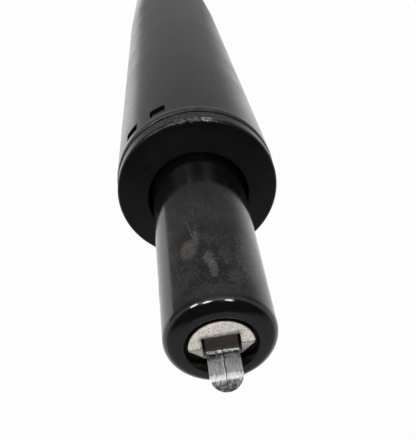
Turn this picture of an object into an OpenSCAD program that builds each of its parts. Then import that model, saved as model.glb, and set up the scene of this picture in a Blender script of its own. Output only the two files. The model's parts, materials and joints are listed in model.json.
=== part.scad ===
// Chair gas lift cylinder with a lever release, shown at its lowest height.
// An outer column stands in the chair base by its taper. A moulded guide bush in the column carries a
// lockable gas spring, whose rod stands on a ball thrust bearing in the foot of the column. The top of
// the gas spring is the taper that the seat sits on, with a release lever in its end.
// The axis of the column is Z, the foot is at Z = 0 and the release lever is pulled towards +Y.

/* [Column] */
// Outside diameter of the column
column_d = 50; // [46:0.5:56]
// Wall of the column
column_wall = 2; // [1.5:0.1:2.6]
// Length of the column from its foot to its top edge
column_len = 238.5; // [225:0.5:300]
// Half angle of the tapers that sit in the chair base and in the seat plate
taper_half_angle = 1.4378; // [1.2:0.01:1.7]
// Height of the taper at the foot of the column
base_taper_len = 62; // [45:1:75]
// Width of the lip that is turned in at the foot
foot_lip_w = 3.5; // [2.5:0.1:4]
// Rounding of the outer edge of the foot
foot_edge_r = 1.2; // [0.5:0.1:1.6]
// Rounding of the outer edge at the top
top_edge_r = 1.6; // [0.3:0.1:1.8]

/* [Snap windows] */
// Width of a window in the column wall
window_w = 5.2; // [4:0.1:6]
// Height of a window
window_h = 4.8; // [4:0.1:6]
// Corner radius of a window
window_corner_r = 0.6; // [0.3:0.1:1]
// Distance from the top edge of the column down to the windows
window_drop = 4.1; // [3.5:0.1:8]
// Angle between the two windows of a pair
window_pitch = 24; // [20:1:32]
// Direction of the first pair of windows, from -Y towards +X
window_bearing = 32; // [20:1:60]

/* [Guide bush] */
// Diameter of the collar on top of the column
collar_d = 49.2; // [48.4:0.1:49.8]
// Height of the collar at its outside
collar_h = 5.2; // [2.4:0.1:6]
// How far the collar's face rises from there to the tube
collar_rise = 2.7; // [0.5:0.1:3.5]
// Rounding of the collar's upper edge
collar_edge_r = 1.2; // [0.5:0.1:1.6]
// Rounding under the collar
collar_under_r = 0.35; // [0.2:0.05:0.6]
// Height of the shadow gap under the collar
neck_h = 0.6; // [0.3:0.1:1]
// How far the neck under the collar stands back from the column's outside
neck_inset = 1.4; // [1.2:0.1:1.6]
// Diameter of the recess round the tube in the collar
mouth_d = 30; // [29.4:0.1:33]
// Depth of that recess
mouth_depth = 6.2; // [3:0.1:7]
// Length of the bush inside the column
bush_len = 90; // [70:1:120]
// Wall of the sleeve round the tube
sleeve_wall = 3; // [2:0.1:4]
// Length of the guiding land at each end of the sleeve
land_len = 24; // [15:1:30]
// Relief between the lands
land_relief = 0.4; // [0.2:0.1:0.8]
// Depth of the skirt that carries the snap tabs
skirt_h = 18; // [16:0.5:24]
// Wall of the skirt
skirt_wall = 2; // [1.5:0.1:2.4]
// Thickness of the web under the collar
bush_web_t = 2.5; // [2:0.1:3.5]
// Height of the ring at the lower end of the bush
bush_foot_h = 6; // [4:0.5:10]
// Lead-in of that ring
bush_lead_in = 0.5; // [0.3:0.1:0.8]
// Number of ribs between the sleeve and the column
rib_count = 8; // [6:1:12]
// Thickness of a rib
rib_w = 2.2; // [1.6:0.1:3]
// Gap between the ribs and the skirt
rib_drop = 1; // [0.5:0.1:2]
// How far a snap tab stands back from the column's outside
tab_recess = 0.6; // [0.3:0.1:0.9]
// Height of the ramp under a snap tab
tab_ramp_h = 1.6; // [1:0.1:2.2]
// Width of the slits beside a snap tab
slit_w = 0.8; // [0.6:0.1:1.2]

/* [Gas spring tube] */
// Outside diameter of the tube
tube_d = 28; // [27:0.1:29]
// Wall of the tube
tube_wall = 2; // [1.6:0.1:2.3]
// Height of the tube above the collar's outside at the lowest seat height
exposed_len = 62.5; // [58:0.1:75]
// Where the seat taper starts above the collar
cone_start = 1; // [0:0.5:8]
// Diameter of the hole in the rim at the top
rim_hole_d = 16.1; // [15.8:0.1:17]
// Rounding of the rim
rim_edge_r = 3; // [2:0.1:3.2]
// Diameter of the hole in the turned-in foot of the tube
tube_foot_hole_d = 15; // [13:0.5:18]
// Rounding of the tube's foot
tube_foot_edge_r = 1.5; // [0.8:0.1:1.8]

/* [Motion] */
// Height adjustment
stroke = 120; // [90:1:150]
// Tilt at which the release lever would meet its block, past the stroke of the release pin
lever_throw = 22; // [16:1:24]

/* [Foot bearing] */
// Sheet thickness of the base cup
cup_t = 2.5; // [2:0.1:3]
// Height of the raised middle of the base cup
cup_rise = 6.5; // [6:0.1:9]
// Slope of the base cup's wall from the axis
cup_flare = 30; // [15:1:40]
// Land on the base cup round the lower race
cup_land = 1; // [0.5:0.1:1.5]
// Diameter of the bearing races
race_d = 24; // [22:0.5:25]
// Height of a race
race_h = 2.2; // [1.8:0.1:3]
// Diameter of a bearing ball
ball_d = 4.5; // [4:0.1:5]
// Number of bearing balls
ball_count = 10; // [8:1:11]
// Diameter of the ball circle
ball_circle_d = 17; // [16.5:0.1:18]
// Depth of a ball in the groove of each race
ball_seat = 0.5; // [0.3:0.1:0.8]
// Height of the ball cage
cage_h = 1.8; // [1.4:0.1:2.2]
// Width of the ball cage's ring
cage_w = 6.4; // [6:0.1:6.8]
// Diameter of the rubber bumper
bumper_d = 25; // [23:0.5:27]
// Height of the bumper
bumper_h = 12; // [8:0.5:18]
// Rounding of the bumper's edges
bumper_edge_r = 2; // [1:0.1:3]
// Depth of the groove round the bumper
bumper_groove = 1.5; // [0.8:0.1:2]
// Diameter of the washer under the base cup
washer_d = 15; // [13:0.5:18]
// Thickness of that washer
washer_t = 1.6; // [1:0.1:2]
// Rounding of the washer's edges
washer_edge_r = 0.4; // [0.2:0.1:0.5]
// Diameter of the retaining clip
clip_d = 14; // [12:0.5:15]
// Thickness of the retaining clip
clip_t = 1.2; // [1:0.1:1.5]
// Depth of the clip's groove in the rod
clip_groove = 0.9; // [0.6:0.1:1.2]
// Opening of the clip
clip_mouth = 5.4; // [5:0.1:6]
// End of the rod below the clip
rod_tail = 2; // [1.5:0.1:2.5]

/* [Rod and piston] */
// Diameter of the piston rod
rod_d = 10; // [9:0.1:11]
// Diameter of the rod's spigot in the bearing
spigot_d = 8; // [7:0.1:8.4]
// Diameter of the stud that carries the piston
stud_d = 6; // [5:0.1:7]
// End of the stud above the nut
stud_tail = 1; // [0.5:0.1:2]
// Chamfer on the ends of the rod
rod_chamfer = 0.6; // [0.3:0.1:0.8]
// Height of the piston
piston_h = 14; // [13:0.5:18]
// Land on the piston beside its seal and guide band
piston_land = 2; // [1.5:0.1:2.2]
// Height of the guide band on the piston
band_h = 4; // [3:0.1:5]
// Thickness of the guide band
band_t = 1; // [0.8:0.1:1.4]
// Section of the piston seal
piston_seal_d = 2.4; // [2:0.1:2.8]
// Thickness of the washer on the piston
piston_washer_t = 1.5; // [1:0.1:2]
// Width of the piston nut across its flats
nut_width = 10; // [9:0.5:11]
// Height of the piston nut
nut_h = 5; // [4:0.5:6]

/* [Inner tube and rod seal] */
// Gap for the gas between the inner tube and the gas spring's tube
gas_gap = 2; // [1.8:0.1:2.4]
// Wall of the inner tube
inner_tube_wall = 1; // [0.8:0.1:1.4]
// Width of the gas notches in the foot of the inner tube
notch_gas_w = 4; // [3:0.1:5]
// Height of those notches
notch_gas_h = 6; // [5.2:0.1:8]
// Number of gas notches
notch_gas_count = 3; // [2:1:4]
// Thickness of the ring under the rod seal
retainer_t = 2; // [1.5:0.1:3]
// Height of the rod seal
seal_h = 6; // [5:0.1:8]
// Depth of the groove between the lips of the rod seal
seal_groove_h = 3.5; // [2.5:0.1:4]
// Wall of a lip of the rod seal
seal_lip_t = 1.8; // [1.4:0.1:2.2]
// Height of the rod guide
guide_h = 12; // [10:0.5:16]
// Height of the spigot that centres the inner tube
guide_spigot_h = 4; // [3:0.1:5]
// Section of the ring in the rod guide
guide_seal_d = 2; // [1.6:0.1:2.4]

/* [Release valve] */
// Diameter of the release pin
pin_d = 4; // [3.5:0.1:4.4]
// Diameter of the waist that lets the gas through
pin_waist_d = 2.8; // [2.4:0.1:3.2]
// How far the waist stands above the middle of the lower pin seal
waist_lap = 0.8; // [0.5:0.1:1.2]
// Diameter of the pin's lower head
pin_head_d = 7; // [6:0.1:8]
// Height of that head
pin_head_h = 2; // [1.5:0.1:3]
// Radius of the pin's domed top
pin_dome_r = 4; // [3:0.1:6]
// Section of the pin seals
pin_seal_d = 2; // [1.6:0.1:2.2]
// Height of the spacer between the pin seals
spacer_h = 7; // [6:0.1:9]
// Diameter of the gas port
port_d = 2; // [1.5:0.1:2.4]
// Land between the gas port and the valve body's full width
port_land = 0.4; // [0.3:0.1:0.8]
// Thickness of the valve body under the pin seals
valve_web_t = 4; // [3:0.1:6]
// Height of the valve body's spigot in the inner tube
valve_spigot_h = 8; // [6:0.5:12]
// Section of the seal round the valve body
valve_seal_d = 2; // [1.6:0.1:2.2]
// Thickness of the cap over the pin seals
valve_cap_t = 2.5; // [2:0.1:4]

/* [Lever block] */
// Height of the block's body under the rim
block_h = 12.5; // [11.5:0.1:16]
// Diameter of the block's boss in the rim
boss_d = 14.4; // [13.8:0.1:15.2]
// Rounding of the boss's edge
boss_edge_r = 0.4; // [0.2:0.1:0.6]
// How far the block's face stands above the rim
face_proud = 0.2; // [0:0.1:0.6]
// Distance from the axis to the edge where the face starts to slope, towards -Y
slope_edge = 0.45; // [0.2:0.05:1]
// Slope of the block towards +Y
slope_angle = 25; // [20:1:42]
// Width of the lever's notch in the block
notch_w = 8.4; // [8:0.1:9]
// Distance from the axis to the back of the notch, towards -Y
notch_back = 3.4; // [3.2:0.1:3.8]
// Chamfer along the notch
notch_chamfer = 0.45; // [0.2:0.05:0.6]

/* [Release lever] */
// Width of the lever
lever_w = 7; // [6.4:0.1:7.4]
// Thickness of the lever's tab
lever_t = 2.3; // [1.8:0.1:2.6]
// Distance from the block's face down to the top of the lever's foot
foot_drop = 0.6; // [0.3:0.1:1]
// Distance from the axis to the back of the foot, towards -Y
foot_back = 2.7; // [2.4:0.1:2.9]
// Distance from the axis to the tab's face, towards +Y
tab_front = 1.2; // [0.8:0.1:1.5]
// Fillet between the foot and the tab
knee_r = 0.5; // [0.2:0.1:0.8]
// Straight part of the tab above the rim
tab_rise = 6.3; // [4:0.1:9]
// Length of the bent tip, along its face
tip_len = 3.6; // [3.2:0.1:6]
// Bend of the tip
tip_bend = 45; // [30:1:60]
// Inside radius of that bend
bend_r = 1.2; // [0.8:0.1:2]
// Distance from the axis to the lever's pivot, towards -Y
pivot_back = 4.6; // [4.4:0.1:5]
// Distance from the block's face down to the pivot
pivot_drop = 4.6; // [4.4:0.1:5]
// Diameter of the pivot pin
pivot_d = 2.5; // [2:0.1:2.6]
// Diameter of the lever's knuckle
knuckle_d = 4.2; // [4:0.1:4.4]
// Height of the heel behind the foot, above the pivot
heel_rise = 1.8; // [1.5:0.1:1.9]
// Distance from the pivot down to the flat under the foot
foot_under = 1.1; // [0.8:0.1:1.4]
// Distance from the axis to where that flat turns up, towards +Y
foot_toe = 1.6; // [1.4:0.1:2.2]
// Height of the turned-up part at the back of the tab
toe_rise = 1.8; // [1.4:0.1:2.4]

/* [Clearances] */
// Radial clearance where a piece slides or turns
run_gap = 0.05; // [0.03:0.01:0.08]
// Clearance where a piece is set in its seat
seat_gap = 0.02; // [0.01:0.01:0.04]
// Clearance round the bearing balls
ball_gap = 0.1; // [0.05:0.01:0.15]
// Clearance round the rod in pieces that it doesn't touch
free_gap = 0.3; // [0.2:0.05:0.5]
// Play of the washer under the base cup
foot_play = 0.1; // [0.05:0.01:0.2]
// Gap between the tube and the bumper at the lowest height
stop_gap = 0.3; // [0.2:0.05:0.5]
// Gap between the piston and the rod guide at the full height
end_gap = 1; // [0.5:0.1:2]
// Clearance round a snap tab in its window
tab_gap = 0.4; // [0.2:0.05:0.5]
// Clearance round the swinging lever
lever_gap = 0.4; // [0.3:0.05:0.5]
// Gap between the lever's foot and the release pin
pin_gap = 0.2; // [0.15:0.05:0.3]

/* [Hidden] */
$fn = 96;
// Overlap of a cutting shape past the face that it cuts
over = 1;

column_r = column_d / 2;
column_bore_r = column_r - column_wall;
taper = tan(taper_half_angle);
// Outside and inside radius of the column at a height
function column_r_at(z) = column_r - max(0, base_taper_len - z) * taper;
function column_bore_at(z) = column_r_at(z) - column_wall;

// Heights of the foot bearing, from the foot up
cup_z = column_wall;
cup_under_z = cup_z + cup_rise;
cup_top_z = cup_under_z + cup_t;
cup_r = column_bore_at(cup_z) - seat_gap;
cup_dish_r = race_d / 2 + cup_land;
lower_race_z1 = cup_top_z + race_h;
ball_r = ball_d / 2;
ball_z = lower_race_z1 - ball_seat + ball_r + ball_gap;
upper_race_z0 = ball_z + ball_r + ball_gap - ball_seat;
upper_race_z1 = upper_race_z0 + race_h;
washer_z1 = cup_under_z - foot_play;
washer_z0 = washer_z1 - washer_t;
clip_z0 = washer_z0 - clip_t;
rod_z0 = clip_z0 - rod_tail;
rod_r = rod_d / 2;
spigot_r = spigot_d / 2;
clip_seat_r = spigot_r - clip_groove;
bumper_z1 = upper_race_z1 + bumper_h;

// Heights of the collar and the windows
neck_z1 = column_len + neck_h;
collar_z1 = neck_z1 + collar_h;
collar_r = collar_d / 2;
lip_z = collar_z1 + collar_rise;
window_z0 = column_len - window_drop - window_h;
window_z = window_z0 + window_h / 2;
window_angles = [for (side = [0, 180], step = [-1, 1]) side + window_bearing - 90 + step * window_pitch / 2];
skirt_r = column_bore_r - run_gap;
skirt_bore_r = skirt_r - skirt_wall;
skirt_z0 = column_len - skirt_h;
bush_z0 = column_len - bush_len;

// Heights and radii of the gas spring's tube at the lowest seat height
tube_z0 = bumper_z1 + stop_gap;
tube_z1 = collar_z1 + exposed_len;
tube_r = tube_d / 2;
cone_z0 = collar_z1 + cone_start;
bush_bore_r = tube_r + run_gap;
sleeve_r = bush_bore_r + sleeve_wall;
rib_root_r = sleeve_r - sleeve_wall / 2;
function tube_r_at(z) = tube_r - max(0, z - cone_z0) * taper;
function tube_bore_at(z) = tube_r_at(z) - tube_wall;
tube_bore_r = tube_r - tube_wall;
rim_z0 = tube_z1 - tube_wall;

// Stack of the rod seal, from the foot of the tube up
retainer_z0 = tube_z0 + tube_wall;
seal_z0 = retainer_z0 + retainer_t;
guide_z0 = seal_z0 + seal_h;
guide_z1 = guide_z0 + guide_h;
guide_spigot_z1 = guide_z1 + guide_spigot_h;
inner_tube_r = tube_bore_r - gas_gap;
inner_bore_r = inner_tube_r - inner_tube_wall;

// Piston on the rod, which meets the rod guide at the full height
piston_z0 = guide_spigot_z1 + stroke + end_gap;
piston_z1 = piston_z0 + piston_h;
piston_washer_z1 = piston_z1 + piston_washer_t;
nut_z1 = piston_washer_z1 + nut_h;
stud_r = stud_d / 2;
piston_r = inner_bore_r - run_gap - seat_gap;
piston_seal_z = piston_z0 + piston_land + piston_seal_d / 2;
band_z0 = piston_seal_z + piston_seal_d / 2 + piston_land;

// Stack of the valve and the lever block, from the rim down
block_z1 = rim_z0;
block_z0 = block_z1 - block_h;
cap_z0 = block_z0 - valve_cap_t;
valve_z1 = cap_z0;
pin_r = pin_d / 2;
pin_seal_h = pin_seal_d + 2 * seat_gap;
pocket_r = pin_r + run_gap + pin_seal_d + seat_gap;
spacer_z1 = valve_z1 - pin_seal_h;
spacer_z0 = spacer_z1 - spacer_h;
pocket_z0 = spacer_z0 - pin_seal_h;
valve_z0 = pocket_z0 - valve_web_t;
valve_spigot_z0 = valve_z0 - valve_spigot_h;
port_z = (spacer_z0 + spacer_z1) / 2;
valve_land_z0 = port_z + port_d / 2 + port_land;
valve_seal_z = (valve_land_z0 + valve_z1) / 2;
valve_seal_r = tube_bore_at(valve_seal_z + valve_seal_d / 2) - run_gap - valve_seal_d / 2;
spigot_seal_z = (valve_z0 + valve_spigot_z0) / 2;
spigot_seal_r = inner_bore_r - run_gap - valve_seal_d / 2;

// Lever and block in the rim, with Y along the pull
face_z = tube_z1 + face_proud;
boss_r = boss_d / 2;
pivot_r = pivot_d / 2;
knuckle_r = knuckle_d / 2;
pivot_y = -pivot_back;
pivot_z = face_z - pivot_drop;
foot_top_z = face_z - foot_drop;
foot_bottom_z = pivot_z - foot_under;
heel_z = pivot_z + heel_rise;
tab_back = tab_front + lever_t;
bend_z = tube_z1 + tab_rise;
bend_y = tab_back + bend_r;
bend_out_r = bend_r + lever_t;
tip_straight = tip_len - bend_out_r * tip_bend * PI / 180;
lever_edge_r = lever_w / 2;
// Place of a point of the lever at its full throw
function thrown_y(y, z) = pivot_y + (y - pivot_y) * cos(lever_throw) + (z - pivot_z) * sin(lever_throw);
function thrown_z(y, z) = pivot_z - (y - pivot_y) * sin(lever_throw) + (z - pivot_z) * cos(lever_throw);
toe_z = foot_bottom_z + toe_rise;
floor_z = min(thrown_z(foot_toe, foot_bottom_z), thrown_z(tab_back, toe_z)) - lever_gap;
pocket_y1 = thrown_y(tab_back, face_z) + lever_gap;
pin_top_z = foot_bottom_z - pin_gap;
pin_head_z1 = valve_spigot_z0 - foot_play;
pin_head_z0 = pin_head_z1 - pin_head_h;
block_r = tube_bore_at(block_z1) - seat_gap;
pivot_half = sqrt(block_r * block_r - pivot_back * pivot_back) - lever_gap;

// Points along an arc
function arc(at, r, from, to, steps = 10) =
    [for (i = [0 : steps]) let (a = from + (to - from) * i / steps) at + r * [cos(a), sin(a)]];

// Turned ring between two radii and two heights
module ring(r0, r1, z0, z1) {
    rotate_extrude() translate([r0, z0]) square([r1 - r0, z1 - z0]);
}

// Turned ring whose outside tapers from r1 at the bottom to r2 at the top
module taper_ring(r0, r1, r2, z0, z1) {
    rotate_extrude() polygon([[r0, z0], [r1, z0], [r2, z1], [r0, z1]]);
}

// Seal ring of a round section
module seal_ring(r, z, d) {
    rotate_extrude() translate([r, z]) circle(d = d);
}

// What a rounding takes off the outer corner of a section, the lower one if y is -1. The wall leans in by
// an angle, and at gives its radius at the rounding's start and the height of the corner.
module corner_off(at, r, y = 1, lean = 0) {
    far = r + over;
    translate(at) scale([1, y]) translate([-r / cos(lean), -r]) difference() {
        polygon([[0, 0], [far * cos(lean), far * sin(lean)], [far, far], [0, far]]);
        circle(r);
    }
}

// What a rounding takes off the upper outer corner of a section whose face rises inwards at an angle
module rising_corner_off(at, r, rise) {
    far = 2 * r;
    translate([at[0] - r, at[1] - r * (1 - sin(rise)) / cos(rise)]) difference() {
        polygon([[0, 0], [far, 0], [far, far], [far * sin(rise), far * cos(rise)]]);
        circle(r);
    }
}

// Section of a ring with rounded outer corners
module soft_section(r0, r1, z0, z1, top_r, bottom_r) {
    difference() {
        translate([r0, z0]) square([r1 - r0, z1 - z0]);
        corner_off([r1, z1], top_r);
        corner_off([r1, z0], bottom_r, -1);
    }
}

// Rectangle with rounded corners, centred
module soft_square(w, h, r) {
    square([w - 2 * r, h], center = true);
    square([w, h - 2 * r], center = true);
    for (x = [-1, 1], y = [-1, 1]) translate([x * (w / 2 - r), y * (h / 2 - r)]) circle(r);
}

// Places its children in each snap window, with X pointing out of the column
module at_windows() {
    for (angle = window_angles) rotate([0, 0, angle]) children();
}

module outer_column() {
    color("#26272a") difference() {
        rotate_extrude() difference() {
            polygon([
                [column_bore_at(0) - foot_lip_w, 0], [column_r_at(0), 0], [column_r, base_taper_len],
                [column_r, column_len], [column_bore_r, column_len], [column_bore_r, base_taper_len],
                [column_bore_at(cup_z), cup_z], [column_bore_at(0) - foot_lip_w, cup_z]
            ]);
            corner_off([column_r, column_len], top_edge_r);
            corner_off([column_r_at(foot_edge_r), 0], foot_edge_r, -1, taper_half_angle);
        }
        at_windows() translate([column_bore_r - over, 0, window_z]) rotate([90, 0, 90])
            linear_extrude(column_wall + 2 * over) soft_square(window_w, window_h, window_corner_r);
    }
}

// One snap tab, with its ramp below
module snap_tab() {
    tab_r = column_r - tab_recess;
    root_r = skirt_r - skirt_wall / 2;
    z0 = window_z0 + tab_gap;
    z1 = window_z0 + window_h - tab_gap;
    rotate([90, 0, 0]) linear_extrude(window_w - 2 * tab_gap, center = true)
        polygon([[root_r, z0], [skirt_r, z0], [tab_r, z0 + tab_ramp_h], [tab_r, z1], [root_r, z1]]);
}

// Sleeve of the bush, with a guiding land at each end
module bush_sleeve() {
    difference() {
        ring(bush_bore_r, sleeve_r, bush_z0, neck_z1);
        ring(bush_bore_r - over, bush_bore_r + land_relief, bush_z0 + land_len, column_len - land_len);
    }
}

// Collar, neck and web at the top of the bush
module bush_collar() {
    mouth_r = mouth_d / 2;
    rotate_extrude() difference() {
        union() {
            polygon([
                [bush_bore_r, neck_z1], [collar_r, neck_z1], [collar_r, collar_z1], [mouth_r, lip_z],
                [bush_bore_r, lip_z]
            ]);
            translate([bush_bore_r, column_len]) square([column_r - neck_inset - bush_bore_r, neck_h]);
            translate([bush_bore_r, column_len - bush_web_t]) square([skirt_r - bush_bore_r, bush_web_t]);
        }
        rising_corner_off([collar_r, collar_z1], collar_edge_r, atan(collar_rise / (collar_r - mouth_r)));
        corner_off([collar_r, neck_z1], collar_under_r, -1);
        translate([bush_bore_r - over, lip_z - mouth_depth])
            square([mouth_r - bush_bore_r + over, mouth_depth + over]);
    }
}

// Ribs from the sleeve to the column, below the skirt
module bush_ribs() {
    intersection() {
        for (i = [0 : rib_count - 1]) rotate([0, 0, window_bearing + i * 360 / rib_count])
            translate([rib_root_r, -rib_w / 2, bush_z0]) cube([skirt_r, rib_w, bush_len - skirt_h - rib_drop]);
        ring(rib_root_r, skirt_r, bush_z0, column_len);
    }
}

module guide_bush() {
    slit_y = (window_w + slit_w) / 2;
    color("#17171a") {
        difference() {
            union() {
                bush_sleeve();
                bush_collar();
                ring(skirt_bore_r, skirt_r, skirt_z0, column_len);
                taper_ring(rib_root_r, skirt_r - bush_lead_in, skirt_r, bush_z0, bush_z0 + bush_foot_h);
                bush_ribs();
            }
            at_windows() for (side = [-1, 1])
                translate([skirt_bore_r - over, side * slit_y - slit_w / 2, skirt_z0 - over])
                    cube([skirt_wall + 2 * over, slit_w, window_z0 + window_h + over - skirt_z0]);
        }
        at_windows() snap_tab();
    }
}

module base_cup() {
    foot_r = cup_dish_r + cup_rise * tan(cup_flare);
    fold = cup_t * (1 - sin(cup_flare)) / cos(cup_flare);
    color("#8d9093") rotate_extrude() polygon([
        [spigot_r + free_gap, cup_under_z], [cup_dish_r, cup_under_z], [foot_r, cup_z], [cup_r, cup_z],
        [cup_r, cup_z + cup_t], [foot_r + fold, cup_z + cup_t], [cup_dish_r + fold, cup_top_z],
        [spigot_r + free_gap, cup_top_z]
    ]);
}

// One race with its ball groove
module race(bore_r, z0) {
    difference() {
        ring(bore_r, race_d / 2, z0, z0 + race_h);
        seal_ring(ball_circle_d / 2, ball_z, ball_d + 2 * ball_gap);
    }
}

module lower_race() {
    color("#a9adb2") race(spigot_r + free_gap, cup_top_z);
}

module upper_race() {
    color("#a9adb2") race(spigot_r + seat_gap, upper_race_z0);
}

// Places its children at each bearing ball
module at_balls() {
    for (i = [0 : ball_count - 1]) rotate([0, 0, i * 360 / ball_count])
        translate([ball_circle_d / 2, 0, ball_z]) children();
}

module ball_cage() {
    color("#c9a45c") difference() {
        ring((ball_circle_d - cage_w) / 2, (ball_circle_d + cage_w) / 2, ball_z - cage_h / 2, ball_z + cage_h / 2);
        at_balls() cylinder(r = ball_r + ball_gap, h = cage_h + 2 * over, center = true);
    }
}

module bearing_balls() {
    color("#d5d8db") at_balls() sphere(ball_r);
}

module bumper() {
    color("#1d1d1d") rotate_extrude() difference() {
        soft_section(rod_r + run_gap, bumper_d / 2, upper_race_z1, bumper_z1, bumper_edge_r, bumper_edge_r);
        translate([bumper_d / 2, upper_race_z1 + bumper_h / 2]) circle(bumper_groove);
    }
}

module base_washer() {
    color("#9a9da1") rotate_extrude() soft_section(
        spigot_r + seat_gap, washer_d / 2, washer_z0, washer_z1, washer_edge_r, washer_edge_r
    );
}

// Spring clip, open to +X, with a lug that bears on the groove at the back and one at each side
module retaining_clip() {
    clip_bore_r = spigot_r + free_gap;
    lug_w = spigot_r - clip_groove;
    color("#6f7276") translate([0, 0, clip_z0]) linear_extrude(clip_t) difference() {
        circle(d = clip_d);
        difference() {
            circle(clip_bore_r);
            for (angle = [90, 180, 270]) rotate([0, 0, angle])
                translate([0, -lug_w / 2]) square([clip_d, lug_w]);
        }
        circle(clip_seat_r + seat_gap);
        translate([0, -clip_mouth / 2]) square([clip_d, clip_mouth]);
    }
}

module piston_rod() {
    color("#c4c7ca") rotate_extrude() polygon([
        [0, rod_z0], [spigot_r - rod_chamfer, rod_z0], [spigot_r, rod_z0 + rod_chamfer],
        [spigot_r, clip_z0 - seat_gap], [clip_seat_r, clip_z0 - seat_gap],
        [clip_seat_r, washer_z0 + seat_gap], [spigot_r, washer_z0 + seat_gap],
        [spigot_r, upper_race_z1], [rod_r, upper_race_z1], [rod_r, piston_z0], [stud_r, piston_z0],
        [stud_r, nut_z1 + stud_tail - rod_chamfer], [stud_r - rod_chamfer, nut_z1 + stud_tail],
        [0, nut_z1 + stud_tail]
    ]);
}

module piston() {
    seal_r = inner_bore_r - run_gap - piston_seal_d;
    color("#b9b4a6") difference() {
        rotate_extrude() soft_section(
            stud_r + seat_gap, piston_r, piston_z0, piston_z1, rod_chamfer, rod_chamfer
        );
        ring(seal_r - seat_gap, piston_r + over, piston_seal_z - piston_seal_d / 2 - seat_gap,
            piston_seal_z + piston_seal_d / 2 + seat_gap);
        ring(inner_bore_r - run_gap - band_t - seat_gap, piston_r + over, band_z0 - seat_gap,
            band_z0 + band_h + seat_gap);
    }
}

module piston_seal() {
    color("#222222") seal_ring(inner_bore_r - run_gap - piston_seal_d / 2, piston_seal_z, piston_seal_d);
}

module piston_band() {
    color("#e4e0d4") ring(inner_bore_r - run_gap - band_t, inner_bore_r - run_gap, band_z0, band_z0 + band_h);
}

module piston_washer() {
    color("#9a9da1") ring(stud_r + seat_gap, nut_width / 2 + rod_chamfer, piston_z1, piston_washer_z1);
}

module piston_nut() {
    corner_to_flat = cos(30);
    color("#a4a7aa") difference() {
        translate([0, 0, piston_washer_z1]) cylinder(d = nut_width / corner_to_flat, h = nut_h, $fn = 6);
        ring(0, stud_r + seat_gap, piston_washer_z1 - over, nut_z1 + over);
    }
}

module pressure_tube() {
    color("#1b1c1e") rotate_extrude() difference() {
        polygon([
            [tube_foot_hole_d / 2, tube_z0], [tube_r, tube_z0], [tube_r, cone_z0], [tube_r_at(tube_z1), tube_z1],
            [rim_hole_d / 2, tube_z1], [rim_hole_d / 2, rim_z0], [tube_bore_at(rim_z0), rim_z0],
            [tube_bore_r, cone_z0], [tube_bore_r, retainer_z0], [tube_foot_hole_d / 2, retainer_z0]
        ]);
        corner_off([tube_r, tube_z0], tube_foot_edge_r, -1);
        corner_off([tube_r_at(tube_z1 - rim_edge_r), tube_z1], rim_edge_r, 1, taper_half_angle);
    }
}

module seal_retainer() {
    color("#8d9093") ring(rod_r + free_gap, tube_bore_r - seat_gap, retainer_z0, seal_z0);
}

module rod_seal() {
    color("#2b2b2b") difference() {
        ring(rod_r + run_gap, tube_bore_r - seat_gap, seal_z0, guide_z0);
        ring(rod_r + run_gap + seal_lip_t, tube_bore_r - seat_gap - seal_lip_t, guide_z0 - seal_groove_h,
            guide_z0 + over);
    }
}

module rod_guide() {
    seal_z = (guide_z0 + guide_z1) / 2;
    color("#cfc9b8") difference() {
        union() {
            ring(rod_r + run_gap, tube_bore_r - seat_gap, guide_z0, guide_z1);
            ring(rod_r + run_gap, inner_bore_r - seat_gap, guide_z1, guide_spigot_z1);
        }
        ring(tube_bore_r - seat_gap - guide_seal_d, tube_bore_r + over, seal_z - guide_seal_d / 2 - seat_gap,
            seal_z + guide_seal_d / 2 + seat_gap);
    }
}

module guide_seal() {
    color("#222222") seal_ring(tube_bore_r - seat_gap - guide_seal_d / 2, (guide_z0 + guide_z1) / 2, guide_seal_d);
}

module inner_tube() {
    color("#b4b7ba") difference() {
        ring(inner_bore_r, inner_tube_r, guide_z1, valve_z0);
        for (i = [0 : notch_gas_count - 1]) rotate([0, 0, i * 360 / notch_gas_count])
            translate([inner_bore_r - over, -notch_gas_w / 2, guide_z1 - over])
                cube([inner_tube_wall + 2 * over, notch_gas_w, notch_gas_h + over]);
    }
}

module valve_body() {
    seal_half = valve_seal_d / 2 + seat_gap;
    color("#b5a98f") difference() {
        union() {
            ring(pin_r + free_gap, inner_bore_r - seat_gap, valve_spigot_z0, valve_z0);
            ring(pin_r + free_gap, inner_tube_r, valve_z0, valve_land_z0);
            taper_ring(pin_r + free_gap, tube_bore_at(valve_land_z0) - seat_gap, tube_bore_at(valve_z1) - seat_gap,
                valve_land_z0, valve_z1);
        }
        ring(0, pocket_r + seat_gap, pocket_z0, valve_z1 + over);
        ring(valve_seal_r - seal_half, tube_r, valve_seal_z - seal_half, valve_seal_z + seal_half);
        ring(spigot_seal_r - seal_half, tube_r, spigot_seal_z - seal_half, spigot_seal_z + seal_half);
        translate([0, 0, port_z]) rotate([90, 0, 0]) cylinder(d = port_d, h = tube_d, center = true);
    }
}

module valve_seals() {
    color("#222222") {
        seal_ring(valve_seal_r, valve_seal_z, valve_seal_d);
        seal_ring(spigot_seal_r, spigot_seal_z, valve_seal_d);
    }
}

module pin_seals() {
    color("#222222") for (z = [pocket_z0, spacer_z1])
        seal_ring(pin_r + run_gap + pin_seal_d / 2, z + pin_seal_h / 2, pin_seal_d);
}

module seal_spacer() {
    color("#d9d4c4") difference() {
        ring(pin_r + free_gap, pocket_r, spacer_z0, spacer_z1);
        translate([0, 0, port_z]) rotate([90, 0, 0]) cylinder(d = port_d, h = tube_d, center = true);
    }
}

module valve_cap() {
    color("#8d9093") taper_ring(
        pin_r + run_gap, tube_bore_at(cap_z0) - seat_gap, tube_bore_at(block_z0) - seat_gap, cap_z0, block_z0
    );
}

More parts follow.
